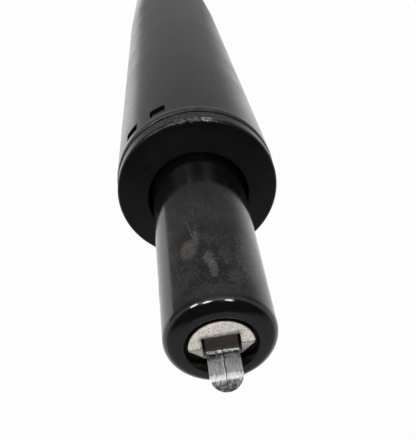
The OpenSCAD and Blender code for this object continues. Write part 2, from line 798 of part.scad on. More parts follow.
// Block as turned, before the notch and the slope are cut
module block_blank() {
    taper_ring(pin_r + run_gap, tube_bore_at(block_z0) - seat_gap, block_r, block_z0, block_z1);
    rotate_extrude() difference() {
        translate([pin_r + run_gap, floor_z]) square([boss_r - pin_r - run_gap, face_z - floor_z]);
        corner_off([boss_r, face_z], boss_edge_r);
    }
}

// Everything of the block above its sloping face
module slope_waste() {
    translate([-tube_d / 2, -slope_edge, face_z]) rotate([-slope_angle, 0, 0]) cube([tube_d, tube_d, tube_d]);
}

// Notch of the lever, with its chamfer, and the round pocket of the knuckle under the face
module notch_waste() {
    notch_len = pocket_y1 + notch_back;
    half = notch_w / 2;
    wide = half + notch_chamfer;
    translate([-half, -notch_back, floor_z]) cube([notch_w, notch_len, face_z - floor_z + over]);
    translate([0, pivot_y, pivot_z]) rotate([0, 90, 0])
        cylinder(r = knuckle_r + lever_gap, h = notch_w, center = true);
    translate([0, pocket_y1, 0]) rotate([90, 0, 0]) linear_extrude(notch_len) polygon([
        [-wide - over, face_z + over], [-half, face_z - notch_chamfer],
        [half, face_z - notch_chamfer], [wide + over, face_z + over]
    ]);
}

module lever_block() {
    color("#c9c2bf") difference() {
        block_blank();
        slope_waste();
        notch_waste();
        translate([0, pivot_y, pivot_z]) rotate([0, 90, 0])
            cylinder(r = pivot_r + seat_gap, h = tube_d, center = true);
    }
}

module lever_pivot() {
    color("#9a9da1") translate([0, pivot_y, pivot_z]) rotate([0, 90, 0])
        cylinder(r = pivot_r, h = 2 * pivot_half, center = true);
}

module release_pin() {
    waist_z0 = pocket_z0 + pin_seal_h / 2 + waist_lap;
    waist_z1 = port_z + port_d;
    color("#b8babd") rotate_extrude() {
        translate([0, pin_head_z0]) square([pin_head_d / 2, pin_head_h]);
        difference() {
            intersection() {
                translate([0, pin_head_z0]) square([pin_r, pin_top_z - pin_head_z0]);
                translate([0, pin_top_z - pin_dome_r]) union() {
                    circle(pin_dome_r);
                    translate([0, -tube_z1]) square([pin_r, tube_z1]);
                }
            }
            translate([pin_waist_d / 2, waist_z0]) square([pin_d, waist_z1 - waist_z0]);
        }
    }
}

// Side view of the lever, Y to the right and Z up, from the knuckle over the foot and the tab to the tip
module lever_side() {
    tip = [tip_straight * sin(tip_bend), tip_straight * cos(tip_bend)];
    knuckle_from = -asin(foot_under / knuckle_r);
    knuckle_to = asin(heel_rise / knuckle_r) - 360;
    difference() {
        polygon(concat(
            arc([pivot_y, pivot_z], knuckle_r, knuckle_from, knuckle_to, 32),
            [[-foot_back, heel_z], [-foot_back, foot_top_z]],
            arc([tab_front - knee_r, foot_top_z + knee_r], knee_r, 270, 360),
            arc([bend_y, bend_z], bend_out_r, 180, 180 - tip_bend),
            [for (r = [bend_out_r, bend_r]) [bend_y - r * cos(tip_bend), bend_z + r * sin(tip_bend)] + tip],
            arc([bend_y, bend_z], bend_r, 180 - tip_bend, 180),
            [[tab_back, toe_z], [foot_toe, foot_bottom_z]]
        ));
        translate([pivot_y, pivot_z]) circle(pivot_r + run_gap);
    }
}

// Front view of the lever along its tip: straight edges and a round end
module lever_front() {
    translate([-lever_w / 2, -tube_d]) square([lever_w, tube_d + tip_straight - lever_edge_r]);
    translate([0, tip_straight - lever_edge_r]) circle(lever_edge_r);
}

module release_lever() {
    color("#9fa4aa") intersection() {
        translate([-lever_w / 2, 0, 0]) rotate([90, 0, 90]) linear_extrude(lever_w) lever_side();
        translate([0, bend_y, bend_z]) rotate([90 - tip_bend, 0, 0])
            translate([0, 0, -tube_d]) linear_extrude(2 * tube_d) lever_front();
    }
}

outer_column();
guide_bush();
base_cup();
lower_race();
ball_cage();
bearing_balls();
upper_race();
bumper();
base_washer();
retaining_clip();
piston_rod();
piston();
piston_seal();
piston_band();
piston_washer();
piston_nut();
pressure_tube();
seal_retainer();
rod_seal();
rod_guide();
guide_seal();
inner_tube();
valve_body();
valve_seals();
pin_seals();
seal_spacer();
valve_cap();
lever_block();
lever_pivot();
release_pin();
release_lever();
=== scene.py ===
"""Looks of a chair gas lift cylinder: outer pieces, finishes, stage, lamps and camera."""

import json
import logging
import math
from collections.abc import Callable, Iterable, Iterator
from contextlib import contextmanager
from dataclasses import dataclass
from enum import Enum
from functools import partial, reduce

import bmesh
import bpy
from mathutils import Matrix, Vector


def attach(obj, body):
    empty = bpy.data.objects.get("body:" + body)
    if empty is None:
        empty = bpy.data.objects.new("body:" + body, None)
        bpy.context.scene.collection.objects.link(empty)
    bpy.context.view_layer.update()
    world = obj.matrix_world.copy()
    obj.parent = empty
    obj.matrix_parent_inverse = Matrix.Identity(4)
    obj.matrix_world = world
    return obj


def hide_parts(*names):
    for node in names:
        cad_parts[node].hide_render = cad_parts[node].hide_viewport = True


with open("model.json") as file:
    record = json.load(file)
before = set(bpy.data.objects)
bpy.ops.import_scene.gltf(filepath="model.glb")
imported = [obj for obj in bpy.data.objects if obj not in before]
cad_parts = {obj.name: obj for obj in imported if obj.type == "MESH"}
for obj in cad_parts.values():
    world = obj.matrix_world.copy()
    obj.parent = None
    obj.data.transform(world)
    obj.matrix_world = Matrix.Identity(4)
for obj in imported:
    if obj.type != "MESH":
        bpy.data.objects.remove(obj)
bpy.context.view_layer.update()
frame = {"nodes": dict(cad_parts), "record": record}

log = logging.getLogger("gas_lift")

MM = 0.001
TOUCH = 2e-6
TAPER = math.tan(math.radians(1.4378))
FULL_TURN = 2 * math.pi
SOFT_EDGE = 0.3
BROKEN_FROM = math.radians(40.0)
SMOOTH_TO = math.radians(34.0)
WHITE = (1.0, 1.0, 1.0, 1.0)

Colour = tuple[float, float, float]
Spot = tuple[float, float, float]
Material = bpy.types.Material
Tree = bpy.types.NodeTree
Socket = bpy.types.NodeSocket
Feed = Socket | float | tuple[float, ...]


class Pick(Enum):
    """What is selected in edit mode."""

    CORNERS = "VERT"
    EDGES = "EDGE"
    FACES = "FACE"


class Cut(Enum):
    """What a cutter leaves of a piece."""

    AWAY = "DIFFERENCE"
    KEEP = "INTERSECT"


class Grain(Enum):
    """How the surface of a plain metal was made."""

    TURNED = "turned"
    DRAWN = "drawn"
    GROUND = "ground"
    PRESSED = "pressed"


class Wear(Enum):
    """How a finish is marked: evenly, or in flecks."""

    STAIN = "stain"
    SCUFF = "scuff"


@dataclass(frozen=True)
class Corner:
    """A corner of a turned section, in millimetres: radius, height and rounding."""

    r: float
    z: float
    soft: float = 0.0

    def spot(self) -> Vector:
        """Place of the corner in the plane of the section, in metres."""
        return Vector((self.r * MM, 0.0, self.z * MM))


def arc(y: float, z: float, r: float, start: float, end: float, steps: int) -> list[tuple[float, float]]:
    """Points along an arc about (y, z), both ends included. Angles in degrees, the rest in millimetres."""
    angles = [math.radians(start + (end - start) * i / steps) for i in range(steps + 1)]
    return [(y + r * math.cos(a), z + r * math.sin(a)) for a in angles]


@dataclass
class Workpiece:
    """A mesh on the bench, shaped with the modelling operators."""

    obj: bpy.types.Object

    @classmethod
    def added(cls, name: str) -> "Workpiece":
        """Takes up the primitive that was just added.

        Args:
            name: Name of the piece.

        Returns:
            The piece.
        """
        piece = cls(bpy.context.object)
        piece.obj.name = name
        piece.obj.data.name = name
        return piece

    @classmethod
    def drawn(cls, name: str, points: list[Vector]) -> "Workpiece":
        """Draws a closed wire from point to point.

        Args:
            name: Name of the piece.
            points: Corners in order, in metres.

        Returns:
            The wire.
        """
        bpy.ops.object.select_all(action="DESELECT")
        bpy.ops.mesh.primitive_plane_add(size=MM)
        wire = cls.added(name)
        with wire.opened():
            bpy.ops.mesh.select_mode(type=Pick.CORNERS.value)
            bpy.ops.mesh.select_all(action="SELECT")
            bpy.ops.mesh.merge(type="CENTER")
            bpy.ops.transform.translate(value=points[0])
            for here, there in zip(points, points[1:]):
                bpy.ops.mesh.extrude_region_move(TRANSFORM_OT_translate={"value": there - here})
            wire.choose_at(points[0], points[-1])
            bpy.ops.mesh.edge_face_add()
        return wire

    @classmethod
    def turned(cls, name: str, section: list[Corner], steps: int = 256) -> "Workpiece":
        """Turns a section about the axis of the gas lift, as on a lathe.

        Args:
            name: Name of the piece.
            section: Corners of the closed section in order.
            steps: Facets round the piece.

        Returns:
            The turned piece, closed and facing outwards.
        """
        piece = cls.drawn(name, [corner.spot() for corner in section])
        with piece.opened():
            for before, here, after in zip(section[-1:] + section[:-1], section, section[1:] + section[:1]):
                if here.soft:
                    opening = (before.spot() - here.spot()).angle(after.spot() - here.spot())
                    width = here.soft * MM / math.tan(opening / 2)
                    piece.choose_at(here.spot())
                    bpy.ops.mesh.bevel(offset=width, segments=12, profile=0.5, affect="VERTICES")
            bpy.ops.mesh.select_all(action="SELECT")
            bpy.ops.mesh.spin(steps=steps, angle=FULL_TURN, center=(0, 0, 0), axis=(0, 0, 1))
            piece.close()
        return piece

    @classmethod
    def plate(cls, name: str, outline: list[tuple[float, float]], stations: list[float]) -> "Workpiece":
        """Extrudes a side view sideways, from station to station.

        Args:
            name: Name of the piece.
            outline: Corners (y, z) of the side view in order, in millimetres.
            stations: Places along X at which the plate has a ring of edges, in millimetres.

        Returns:
            The closed plate.
        """
        piece = cls.drawn(name, [Vector((stations[0] * MM, y * MM, z * MM)) for y, z in outline])
        with piece.opened():
            bpy.ops.mesh.select_all(action="SELECT")
            bpy.ops.mesh.edge_face_add()
            for here, there in zip(stations, stations[1:]):
                step = ((there - here) * MM, 0, 0)
                bpy.ops.mesh.extrude_region_move(TRANSFORM_OT_translate={"value": step})
            piece.close()
        return piece

    @classmethod
    def bar(cls, name: str, low: Spot, high: Spot) -> "Workpiece":
        """A square bar between two corners.

        Args:
            name: Name of the piece.
            low: Lowest corner in millimetres.
            high: Highest corner in millimetres.

        Returns:
            The bar.
        """
        bpy.ops.object.select_all(action="DESELECT")
        bpy.ops.mesh.primitive_cube_add(size=1.0)
        bar = cls.added(name)
        bar.obj.scale = (Vector(high) - Vector(low)) * MM
        bar.obj.location = (Vector(high) + Vector(low)) * MM / 2
        bar.settle()
        return bar

    @classmethod
    def rod(cls, name: str, r: float, length: float, steps: int = 96) -> "Workpiece":
        """A round rod along Z about the origin.

        Args:
            name: Name of the piece.
            r: Radius in millimetres.
            length: Length in millimetres.
            steps: Facets round the rod.

        Returns:
            The rod.
        """
        bpy.ops.object.select_all(action="DESELECT")
        bpy.ops.mesh.primitive_cylinder_add(vertices=steps, radius=r * MM, depth=length * MM)
        return cls.added(name)

    def hold(self) -> None:
        """Makes this piece the only selected and active one."""
        bpy.ops.object.select_all(action="DESELECT")
        self.obj.select_set(True)
        bpy.context.view_layer.objects.active = self.obj

    @contextmanager
    def opened(self) -> Iterator[None]:
        """Opens the piece in edit mode.

        Returns:
            A context, after which the piece is back in object mode.
        """
        self.hold()
        bpy.ops.object.mode_set(mode="EDIT")
        yield
        bpy.ops.object.mode_set(mode="OBJECT")

    def choose(self, kind: Pick, wanted: Callable[[object], bool]) -> None:
        """Selects what passes a test, in edit mode.

        Args:
            kind: Corners, edges or faces.
            wanted: Test of one corner, edge or face.
        """
        bpy.ops.mesh.select_mode(type=kind.value)
        bpy.ops.mesh.select_all(action="DESELECT")
        mesh = bmesh.from_edit_mesh(self.obj.data)
        for item in {Pick.CORNERS: mesh.verts, Pick.EDGES: mesh.edges, Pick.FACES: mesh.faces}[kind]:
            if wanted(item):
                item.select_set(True)
        mesh.select_flush_mode()
        bmesh.update_edit_mesh(self.obj.data)

    def choose_at(self, *spots: Vector) -> None:
        """Selects the corners at some places in metres, in edit mode."""
        self.choose(Pick.CORNERS, lambda corner: any((corner.co - spot).length < TOUCH for spot in spots))

    def close(self) -> None:
        """Closes the seams of the mesh and turns its faces outwards, in edit mode."""
        bpy.ops.mesh.select_all(action="SELECT")
        bpy.ops.mesh.remove_doubles(threshold=TOUCH)
        bpy.ops.mesh.normals_make_consistent(inside=False)

    def settle(self, turn: Spot = (0, 0, 0), at: Spot | None = None) -> None:
        """Turns and moves the piece, and puts its place into its mesh.

        Args:
            turn: Angles about X, Y and Z in degrees.
            at: New place of its origin in millimetres, or None to leave it.
        """
        self.hold()
        self.obj.rotation_euler = [math.radians(angle) for angle in turn]
        if at is not None:
            self.obj.location = Vector(at) * MM
        bpy.ops.object.transform_apply(location=True, rotation=True, scale=True)

    def twin(self, angle: float) -> "Workpiece":
        """A copy with its own mesh, turned about the axis of the gas lift.

        Args:
            angle: Angle in degrees.

        Returns:
            The copy.
        """
        self.hold()
        bpy.ops.object.duplicate()
        copy = Workpiece(bpy.context.object)
        copy.settle(turn=(0, 0, angle))
        return copy

    def twins(self, angles: Iterable[float]) -> list["Workpiece"]:
        """Copies of the piece about the axis of the gas lift. The piece itself is used up.

        Args:
            angles: Angles of the copies in degrees.

        Returns:
            The copies.
        """
        copies = [self.twin(angle) for angle in angles]
        self.remove()
        return copies

    def remove(self) -> None:
        """Takes the piece off the bench."""
        bpy.data.objects.remove(self.obj)

    def modify(self, kind: str, **settings: object) -> None:
        """Applies a modifier.

        Args:
            kind: Blender's name of the modifier.
            settings: The modifier's own options.
        """
        self.hold()
        work = self.obj.modifiers.new(kind.lower(), kind)
        for name, value in settings.items():
            setattr(work, name, value)
        bpy.ops.object.modifier_apply(modifier=work.name)

    def cut(self, *cutters: "Workpiece", leave: Cut = Cut.AWAY) -> None:
        """Cuts the piece with some cutters, which are used up.

        Args:
            cutters: Shapes of the cuts, in order.
            leave: What is left of the piece.
        """
        for cutter in cutters:
            self.modify("BOOLEAN", operation=leave.value, solver="EXACT", object=cutter.obj)
            cutter.remove()

    def join(self, others: Iterable["Workpiece"]) -> None:
        """Makes other pieces part of this one.

        Args:
            others: The pieces, which are used up.
        """
        self.hold()
        for other in others:
            other.obj.select_set(True)
        bpy.ops.object.join()

    def break_edges(self, width: float) -> None:
        """Rounds the sharp edges of the piece, with the width of the rounding in millimetres."""
        self.modify(
            "BEVEL", width=width * MM, segments=3, limit_method="ANGLE", angle_limit=BROKEN_FROM,
            use_clamp_overlap=True
        )

    def smooth(self) -> None:
        """Shades the piece smooth, apart from its sharp edges."""
        self.hold()
        bpy.ops.object.shade_smooth_by_angle(angle=SMOOTH_TO)
        self.modify("WEIGHTED_NORMAL", keep_sharp=True)

    def fit(self, body: str, node: str, slot: str, material: Material) -> None:
        """Dresses the finished piece and puts it in its node's place.

        Args:
            body: Moving body that it rides on.
            node: CAD node that it stands for.
            slot: Material slot of the record; not used.
            material: Its finish.
        """
        self.smooth()
        self.obj.data.materials.clear()
        self.obj.data.materials.append(material)
        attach(self.obj, body)
        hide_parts(node)
        log.info("%s: %d faces", self.obj.name, len(self.obj.data.polygons))


def emptied(owner: Material | bpy.types.World) -> Tree:
    """Clears the nodes of a material or a world.

    Args:
        owner: The material or the world.

    Returns:
        Its empty node tree.
    """
    owner.use_nodes = True
    owner.node_tree.nodes.clear()
    return owner.node_tree


@dataclass
class Nodes:
    """Adds and links the nodes of one material, group or world."""

    tree: Tree

    def link(self, sockets: bpy.types.bpy_prop_collection, feeds: dict[str | int, Feed]) -> None:
        """Feeds some inputs of a node.

        Args:
            sockets: All inputs of the node.
            feeds: What they take: a value, or another node's output.
        """
        for name, value in feeds.items():
            if isinstance(value, Socket):
                self.tree.links.new(value, sockets[name])
            else:
                sockets[name].default_value = value

    def put(
        self, kind: str, feeds: dict[str | int, Feed] | None = None, **settings: object
    ) -> bpy.types.Node:
        """Adds a node.

        Args:
            kind: Blender's name of the node.
            feeds: What its inputs take.
            settings: The node's own options.

        Returns:
            The node.
        """
        node = self.tree.nodes.new(kind)
        for name, value in settings.items():
            setattr(node, name, value)
        self.link(node.inputs, feeds or {})
        return node

    def calc(self, work: str, first: Feed, second: Feed = 0.0, hold: bool = False) -> Socket:
        """Result of a math node, which is held between 0 and 1 if asked."""
        return self.put("ShaderNodeMath", {0: first, 1: second}, operation=work, use_clamp=hold).outputs[0]

    def times(self, *values: Feed) -> Socket:
        """Product of some values."""
        return reduce(partial(self.calc, "MULTIPLY"), values)

    def plus(self, *values: Feed) -> Socket:
        """Sum of some values."""
        return reduce(partial(self.calc, "ADD"), values)

    def most(self, *values: Feed) -> Socket:
        """Largest of some values."""
        return reduce(partial(self.calc, "MAXIMUM"), values)

    def less(self, first: Feed, second: Feed, hold: bool = False) -> Socket:
        """The first value less the second, which is held between 0 and 1 if asked."""
        return self.calc("SUBTRACT", first, second, hold)

    def apart(self, first: Feed, second: Feed) -> Socket:
        """How far two values are apart."""
        return self.calc("ABSOLUTE", self.less(first, second))

    def vector(self, work: str, first: Feed, second: Feed = (0.0, 0.0, 0.0)) -> Socket:
        """Result of a vector math node."""
        node = self.put("ShaderNodeVectorMath", {0: first, 1: second}, operation=work)
        return node.outputs["Value" if work in ("LENGTH", "DOT_PRODUCT") else "Vector"]

    def parts(self, place: Socket) -> bpy.types.bpy_prop_collection:
        """The X, Y and Z of a place."""
        return self.put("ShaderNodeSeparateXYZ", {0: place}).outputs

    def radius(self, place: Socket) -> Socket:
        """Distance of a place from the axis of the gas lift."""
        return self.vector("LENGTH", self.vector("MULTIPLY", place, (1.0, 1.0, 0.0)))

    def ramp(
        self, value: Feed, low: float, high: float, at_low: float = 0.0, at_high: float = 1.0
    ) -> Socket:
        """Goes smoothly from one level to another, while a value goes from low to high."""
        feeds = {"Value": value, "From Min": low, "From Max": high, "To Min": at_low, "To Max": at_high}
        return self.put("ShaderNodeMapRange", feeds, interpolation_type="SMOOTHSTEP").outputs["Result"]

    def tint(self, share: Feed, first: Feed, second: Feed) -> Socket:
        """Mixes a share of the second colour into the first."""
        first, second = (part if isinstance(part, Socket) else (*part, 1.0) for part in (first, second))
        return self.put("ShaderNodeMix", {0: share, 6: first, 7: second}, data_type="RGBA").outputs[2]

    def blend(self, share: Feed, first: Feed, second: Feed) -> Socket:
        """Mixes a share of the second value into the first."""
        return self.put("ShaderNodeMix", {0: share, 2: first, 3: second}, data_type="FLOAT").outputs[0]

    def noise(self, place: Feed, scale: Feed, detail: float, warp: float = 0.0) -> Socket:
        """A cloudy value about one half, with its clouds per millimetre, finer levels and stirring."""
        feeds = {"Vector": place, "Scale": scale, "Detail": detail, "Distortion": warp}
        return self.put("ShaderNodeTexNoise", feeds).outputs[0]

    def stir(self, place: Feed, scale: float, detail: float) -> Socket:
        """A cloudy value about nought."""
        return self.less(self.noise(place, scale, detail), 0.5)


class SharedEffect(Nodes):
    """A node group that finishes share, with the place on the piece in millimetres as its first input."""

    def __init__(self, name: str, outputs: tuple[str, ...] = ("Mask",), **inputs: Feed) -> None:
        """Starts the group.

        Args:
            name: Name of the group.
            outputs: Names of its output values.
            inputs: Its other inputs with their usual values: a vector for a place, a number otherwise.
        """
        super().__init__(bpy.data.node_groups.new(name, "ShaderNodeTree"))
        for socket_name, usual in {"Place": (0.0, 0.0, 0.0), **inputs}.items():
            kind = "NodeSocketVector" if isinstance(usual, tuple) else "NodeSocketFloat"
            socket = self.tree.interface.new_socket(name=socket_name, in_out="INPUT", socket_type=kind)
            socket.default_value = usual
        for socket_name in outputs:
            self.tree.interface.new_socket(name=socket_name, in_out="OUTPUT", socket_type="NodeSocketFloat")
        self.given = self.put("NodeGroupInput").outputs
        self.result = self.put("NodeGroupOutput").inputs

    @property
    def place(self) -> Socket:
        """The place on the piece."""
        return self.given["Place"]

    def torn(self, far: Socket, scale: float) -> Socket:
        """A distance with a border as ragged as the group's input says."""
        return self.plus(far, self.times(self.stir(self.place, scale, 4.0), self.given["Ragged"], 3.0))

    def give(self, **results: Socket) -> Tree:
        """Ends the group.

        Args:
            results: Its output values by name.

        Returns:
            The group.
        """
        self.link(self.result, results)
        return self.tree


class Effects:
    """Surface effects that several finishes share, each built once."""

    hair_turns: tuple[Spot, ...] = ((0.25, 0.1, 0.0), (-0.5, 0.35, 0.6), (1.2, 0.2, 1.4))

    def __init__(self) -> None:
        """Builds the groups."""
        self.surface_grain = self._surface_grain()
        self.hair_scratches = self._hair_scratches()
        self.settled_dust = self._settled_dust()
        self.soft_spot = self._soft_spot()
        self.scratch_line = self._scratch_line()
        self.lathe_rings = self._lathe_rings()
        self.height_band = self._height_band()

    def _surface_grain(self) -> Tree:
        """Fine grain, Size wide.

        Returns:
            The group: Height is the grain itself, and Tone a slow cloudiness over it.
        """
        group = SharedEffect("surface_grain", ("Height", "Tone"), Size=0.2)
        pitch = group.calc("DIVIDE", 1.0, group.given["Size"])
        cloud = group.noise(group.place, group.times(pitch, 0.06), 3.0)
        return group.give(Height=group.noise(group.place, pitch, 3.0), Tone=group.ramp(cloud, 0.3, 0.7))

    def _hair_scratches(self) -> Tree:
        """Thin straight handling scratches in patches. Cover runs from 0, none, to 1, all over.

        Returns:
            The group.
        """
        group = SharedEffect("hair_scratches", Width=0.05, Cover=0.4)
        bare = group.less(0.72, group.times(group.given["Cover"], 0.5))
        patches = group.less(group.noise(group.place, 0.11, 2.0), bare)
        scratched = group.calc("MULTIPLY", patches, 12.0, hold=True)
        reach = group.times(group.given["Width"], 0.25)
        lines = []
        for turn in self.hair_turns:
            feeds = {"Vector": group.place, "Rotation": turn, "Scale": (1.0, 1.0, 0.05)}
            slant = group.put("ShaderNodeMapping", feeds).outputs[0]
            far = group.calc("DIVIDE", group.apart(group.noise(slant, 0.7, 1.0), 0.5), reach)
            lines.append(group.less(1.0, far, hold=True))
        return group.give(Mask=group.times(group.most(*lines), scratched))

    def _settled_dust(self) -> Tree:
        """Loose specks of dust and lint. Cover is the share of the places that have one.

        Returns:
            The group.
        """
        group = SharedEffect("settled_dust", Spacing=1.2, Cover=0.3)
        scale = group.calc("DIVIDE", 1.0, group.given["Spacing"])
        cells = group.put("ShaderNodeTexVoronoi", {"Vector": group.place, "Scale": scale}).outputs
        lot = group.put("ShaderNodeSeparateColor", {"Color": cells["Color"]}).outputs
        inside = group.less(group.times(lot["Green"], 0.13), cells["Distance"])
        inside = group.calc("MULTIPLY", inside, 30.0, hold=True)
        taken = group.calc("LESS_THAN", lot["Red"], group.given["Cover"])
        return group.give(Mask=group.times(inside, taken))

    def _soft_spot(self) -> Tree:
        """One soft spot about a centre, for a rub, a stain or a painted highlight. Ragged breaks up its
        border.

        Returns:
            The group.
        """
        group = SharedEffect("soft_spot", Centre=(0.0, 0.0, 0.0), Reach=(1.0, 1.0, 1.0), Ragged=0.5)
        off = group.vector("SUBTRACT", group.place, group.given["Centre"])
        far = group.vector("LENGTH", group.vector("DIVIDE", off, group.given["Reach"]))
        return group.give(Mask=group.ramp(group.torn(far, 1.3), 1.0, 0.45))

    def _scratch_line(self) -> Tree:
        """One scratch from Start to End, Width wide.

        Returns:
            The group.
        """
        group = SharedEffect("scratch_line", Start=(0.0, 0.0, 0.0), End=(0.0, 0.0, 1.0), Width=0.3)
        run = group.vector("SUBTRACT", group.given["End"], group.given["Start"])
        off = group.vector("SUBTRACT", group.place, group.given["Start"])
        part, whole = (group.vector("DOT_PRODUCT", way, run) for way in (off, run))
        along = group.calc("DIVIDE", part, whole, hold=True)
        step = group.put("ShaderNodeVectorMath", {0: run, "Scale": along}, operation="SCALE")
        far = group.vector("LENGTH", group.vector("SUBTRACT", off, step.outputs["Vector"]))
        near = group.less(1.0, group.calc("DIVIDE", far, group.given["Width"]), hold=True)
        patchy = group.ramp(group.noise(group.place, 0.8, 3.0), 0.3, 0.55)
        return group.give(Mask=group.times(near, patchy))

    def _lathe_rings(self) -> Tree:
        """Fine rings about the axis of the gas lift, left by a tool or by grinding.

        Returns:
            The group.
        """
        group = SharedEffect("lathe_rings", ("Height",), Pitch=0.12)
        feeds = {"X": group.radius(group.place), "Z": group.parts(group.place)["Z"]}
        track = group.put("ShaderNodeCombineXYZ", feeds).outputs[0]
        return group.give(Height=group.noise(track, group.calc("DIVIDE", 1.0, group.given["Pitch"]), 3.0))

    def _height_band(self) -> Tree:
        """A level band round the piece, Half high either way, with a ragged border.

        Returns:
            The group.
        """
        group = SharedEffect("height_band", Level=0.0, Half=1.0, Ragged=0.3)
        off = group.apart(group.parts(group.place)["Z"], group.given["Level"])
        far = group.calc("DIVIDE", off, group.given["Half"])
        return group.give(Mask=group.ramp(group.torn(far, 0.5), 1.0, 0.4))


EFFECTS = Effects()


@dataclass(frozen=True)
class Clouds:
    """A cloudy pattern: clouds per millimetre, where they start and are full, finer levels and stirring."""

    scale: float
    start: float
    full: float
    detail: float
    warp: float = 0.0


class Finish(Nodes):
    """A material under work: its nodes, its shader and the place on the piece in millimetres."""

    def __init__(self, name: str) -> None:
        """Starts a material.

        Args:
            name: Name of the material.
        """
        self.material = bpy.data.materials.new(name)
        super().__init__(emptied(self.material))
        self.shader = self.put("ShaderNodeBsdfPrincipled")
        self.put("ShaderNodeOutputMaterial", {"Surface": self.shader.outputs[0]})
        metres = self.put("ShaderNodeTexCoord").outputs["Object"]
        self.place = self.vector("MULTIPLY", metres, (1 / MM, 1 / MM, 1 / MM))

    def feed(self, **sockets: Feed) -> None:
        """Feeds inputs of the shader, named with _ for a space."""
        self.link(self.shader.inputs, {name.replace("_", " "): value for name, value in sockets.items()})

    def relief(self, *layers: tuple[Socket, float]) -> None:
        """Gives the surface a fine relief.

        Args:
            layers: Heights between 0 and 1, each with its depth in millimetres.
        """
        feeds = {"Strength": 1.0}
        for height, depth in layers:
            bump = self.put("ShaderNodeBump", {**feeds, "Height": height, "Distance": depth * MM})
            feeds["Normal"] = bump.outputs["Normal"]
        self.feed(Normal=feeds["Normal"])

    def effect(self, group: Tree, output: str = "Mask", **feeds: Feed) -> Socket:
        """One output of a shared effect on the piece, with the values of its inputs."""
        return self.put("ShaderNodeGroup", {"Place": self.place, **feeds}, node_tree=group).outputs[output]

    def clouds(self, pattern: Clouds) -> Socket:
        """A cloudy pattern on the piece, between 0 and 1."""
        cloudy = self.noise(self.place, pattern.scale, pattern.detail, pattern.warp)
        return self.ramp(cloudy, pattern.start, pattern.full)

    def coats(self, colour: Socket, *layers: tuple[Socket, Feed, Colour]) -> Socket:
        """Lays colours over a colour, one after another.

        Args:
            colour: The colour below.
            layers: Where each colour lies, between 0 and 1, how strong it is, and the colour.

        Returns:
            The colour on top.
        """
        for mask, strength, over in layers:
            colour = self.tint(self.times(mask, strength), colour, over)
        return colour


@dataclass(frozen=True)
class Patch:
    """A spot on a piece that is rubbed, stained or given a painted highlight, in millimetres."""

    centre: Spot
    reach: Spot
    ragged: float

    def mask(self, finish: Finish) -> Socket:
        """Share of the spot on a finish, between 0 and 1."""
        return finish.effect(EFFECTS.soft_spot, Centre=self.centre, Reach=self.reach, Ragged=self.ragged)


@dataclass(frozen=True)
class Mark(Patch):
    """A patch with a colour of its own, in the tube's paint."""

    colour: Colour
    strength: float
    wear: Wear = Wear.SCUFF


@dataclass(frozen=True)
class Scratch:
    """A scratch in the tube's paint, in millimetres."""

    start: Spot
    end: Spot
    width: float
    strength: float


def dimmed(colour: Colour, share: float) -> Colour:
    """A colour times a share."""
    return tuple(part * share for part in colour)


@dataclass(frozen=True)
class SatinPaint:
    """Satin black powder paint of the column, with a faint orange peel, a painted highlight along the top
    edge and painted shade in the gap below the collar and round the windows.
    """

    name: str = "column_satin_paint"
    colour: Colour = (0.0125, 0.0128, 0.0135)
    cloudy: float = 1.25
    highlight_grey: Colour = (0.058, 0.058, 0.060)
    dust: Colour = (0.16, 0.155, 0.15)
    # Painted shade: colour, roughness and metal of the black in the gap below the collar and round the
    # windows.
    painted_shade: Colour = (0.002, 0.002, 0.002)
    roughness: float = 0.25
    shade_roughness: float = 0.75
    shade_metal: float = 0.75
    coat: float = 0.4
    coat_roughness: float = 0.22
    shine: float = 0.4
    peel_mm: float = 0.9
    fine_mm: float = 0.12
    top_edge_z: float = 236.4
    gap_z: float = 238.15
    windows_from_z: float = 228.15
    windows_to_z: float = 236.55
    r: float = 25.0

    def make(self) -> Material:
        """Builds the material.

        Returns:
            The material.
        """
        paint = Finish(self.name)
        tone = paint.effect(EFFECTS.surface_grain, "Tone", Size=self.peel_mm)
        peel = paint.effect(EFFECTS.surface_grain, "Height", Size=self.peel_mm)
        fine = paint.effect(EFFECTS.surface_grain, "Height", Size=self.fine_mm)
        # Painted highlight: a lighter band along the rounded top edge of the column.
        edge = paint.effect(EFFECTS.height_band, Level=self.top_edge_z, Half=1.3, Ragged=0.35)
        dust = paint.effect(EFFECTS.settled_dust, Spacing=2.2, Cover=0.16)
        hairs = paint.effect(EFFECTS.hair_scratches, Width=0.05, Cover=0.25)
        # Painted shade: black in the gap below the collar and round the windows.
        shade_mask = self._shade_mask(paint)
        # The hair scratches are drawn in the same grey as the painted edge highlight.
        colour = paint.coats(
            paint.tint(tone, self.colour, dimmed(self.colour, self.cloudy)),
            (edge, 0.8, self.highlight_grey), (hairs, 0.3, self.highlight_grey),
            (dust, 0.4, self.dust), (shade_mask, 1.0, self.painted_shade)
        )
        rough = paint.blend(tone, self.roughness - 0.03, self.roughness + 0.04)
        rough = paint.plus(rough, paint.times(hairs, 0.1))
        # Where shade is painted the paint is rough, metallic and without coat, so that it mirrors nothing
        # and stays black.
        paint.feed(
            Base_Color=colour, Roughness=paint.blend(shade_mask, rough, self.shade_roughness),
            Metallic=paint.times(shade_mask, self.shade_metal), Specular_IOR_Level=self.shine,
            Coat_Weight=paint.blend(shade_mask, self.coat, 0.0), Coat_Roughness=self.coat_roughness
        )
        paint.relief((peel, 0.004), (fine, 0.0012))
        return paint.material

    def _shade_mask(self, paint: Finish) -> Socket:
        """Where shade is painted: in the gap below the collar and on the edges of the windows.

        Args:
            paint: The material under work.

        Returns:
            The share of painted shade, between 0 and 1.
        """
        z = paint.parts(paint.place)["Z"]
        gap = paint.ramp(z, self.gap_z - 0.35, self.gap_z)
        inside = paint.ramp(paint.radius(paint.place), self.r - 0.08, self.r - 0.35)
        upper = paint.calc("GREATER_THAN", z, self.windows_from_z)
        below = paint.calc("LESS_THAN", z, self.windows_to_z)
        return paint.most(gap, paint.times(inside, upper, below))


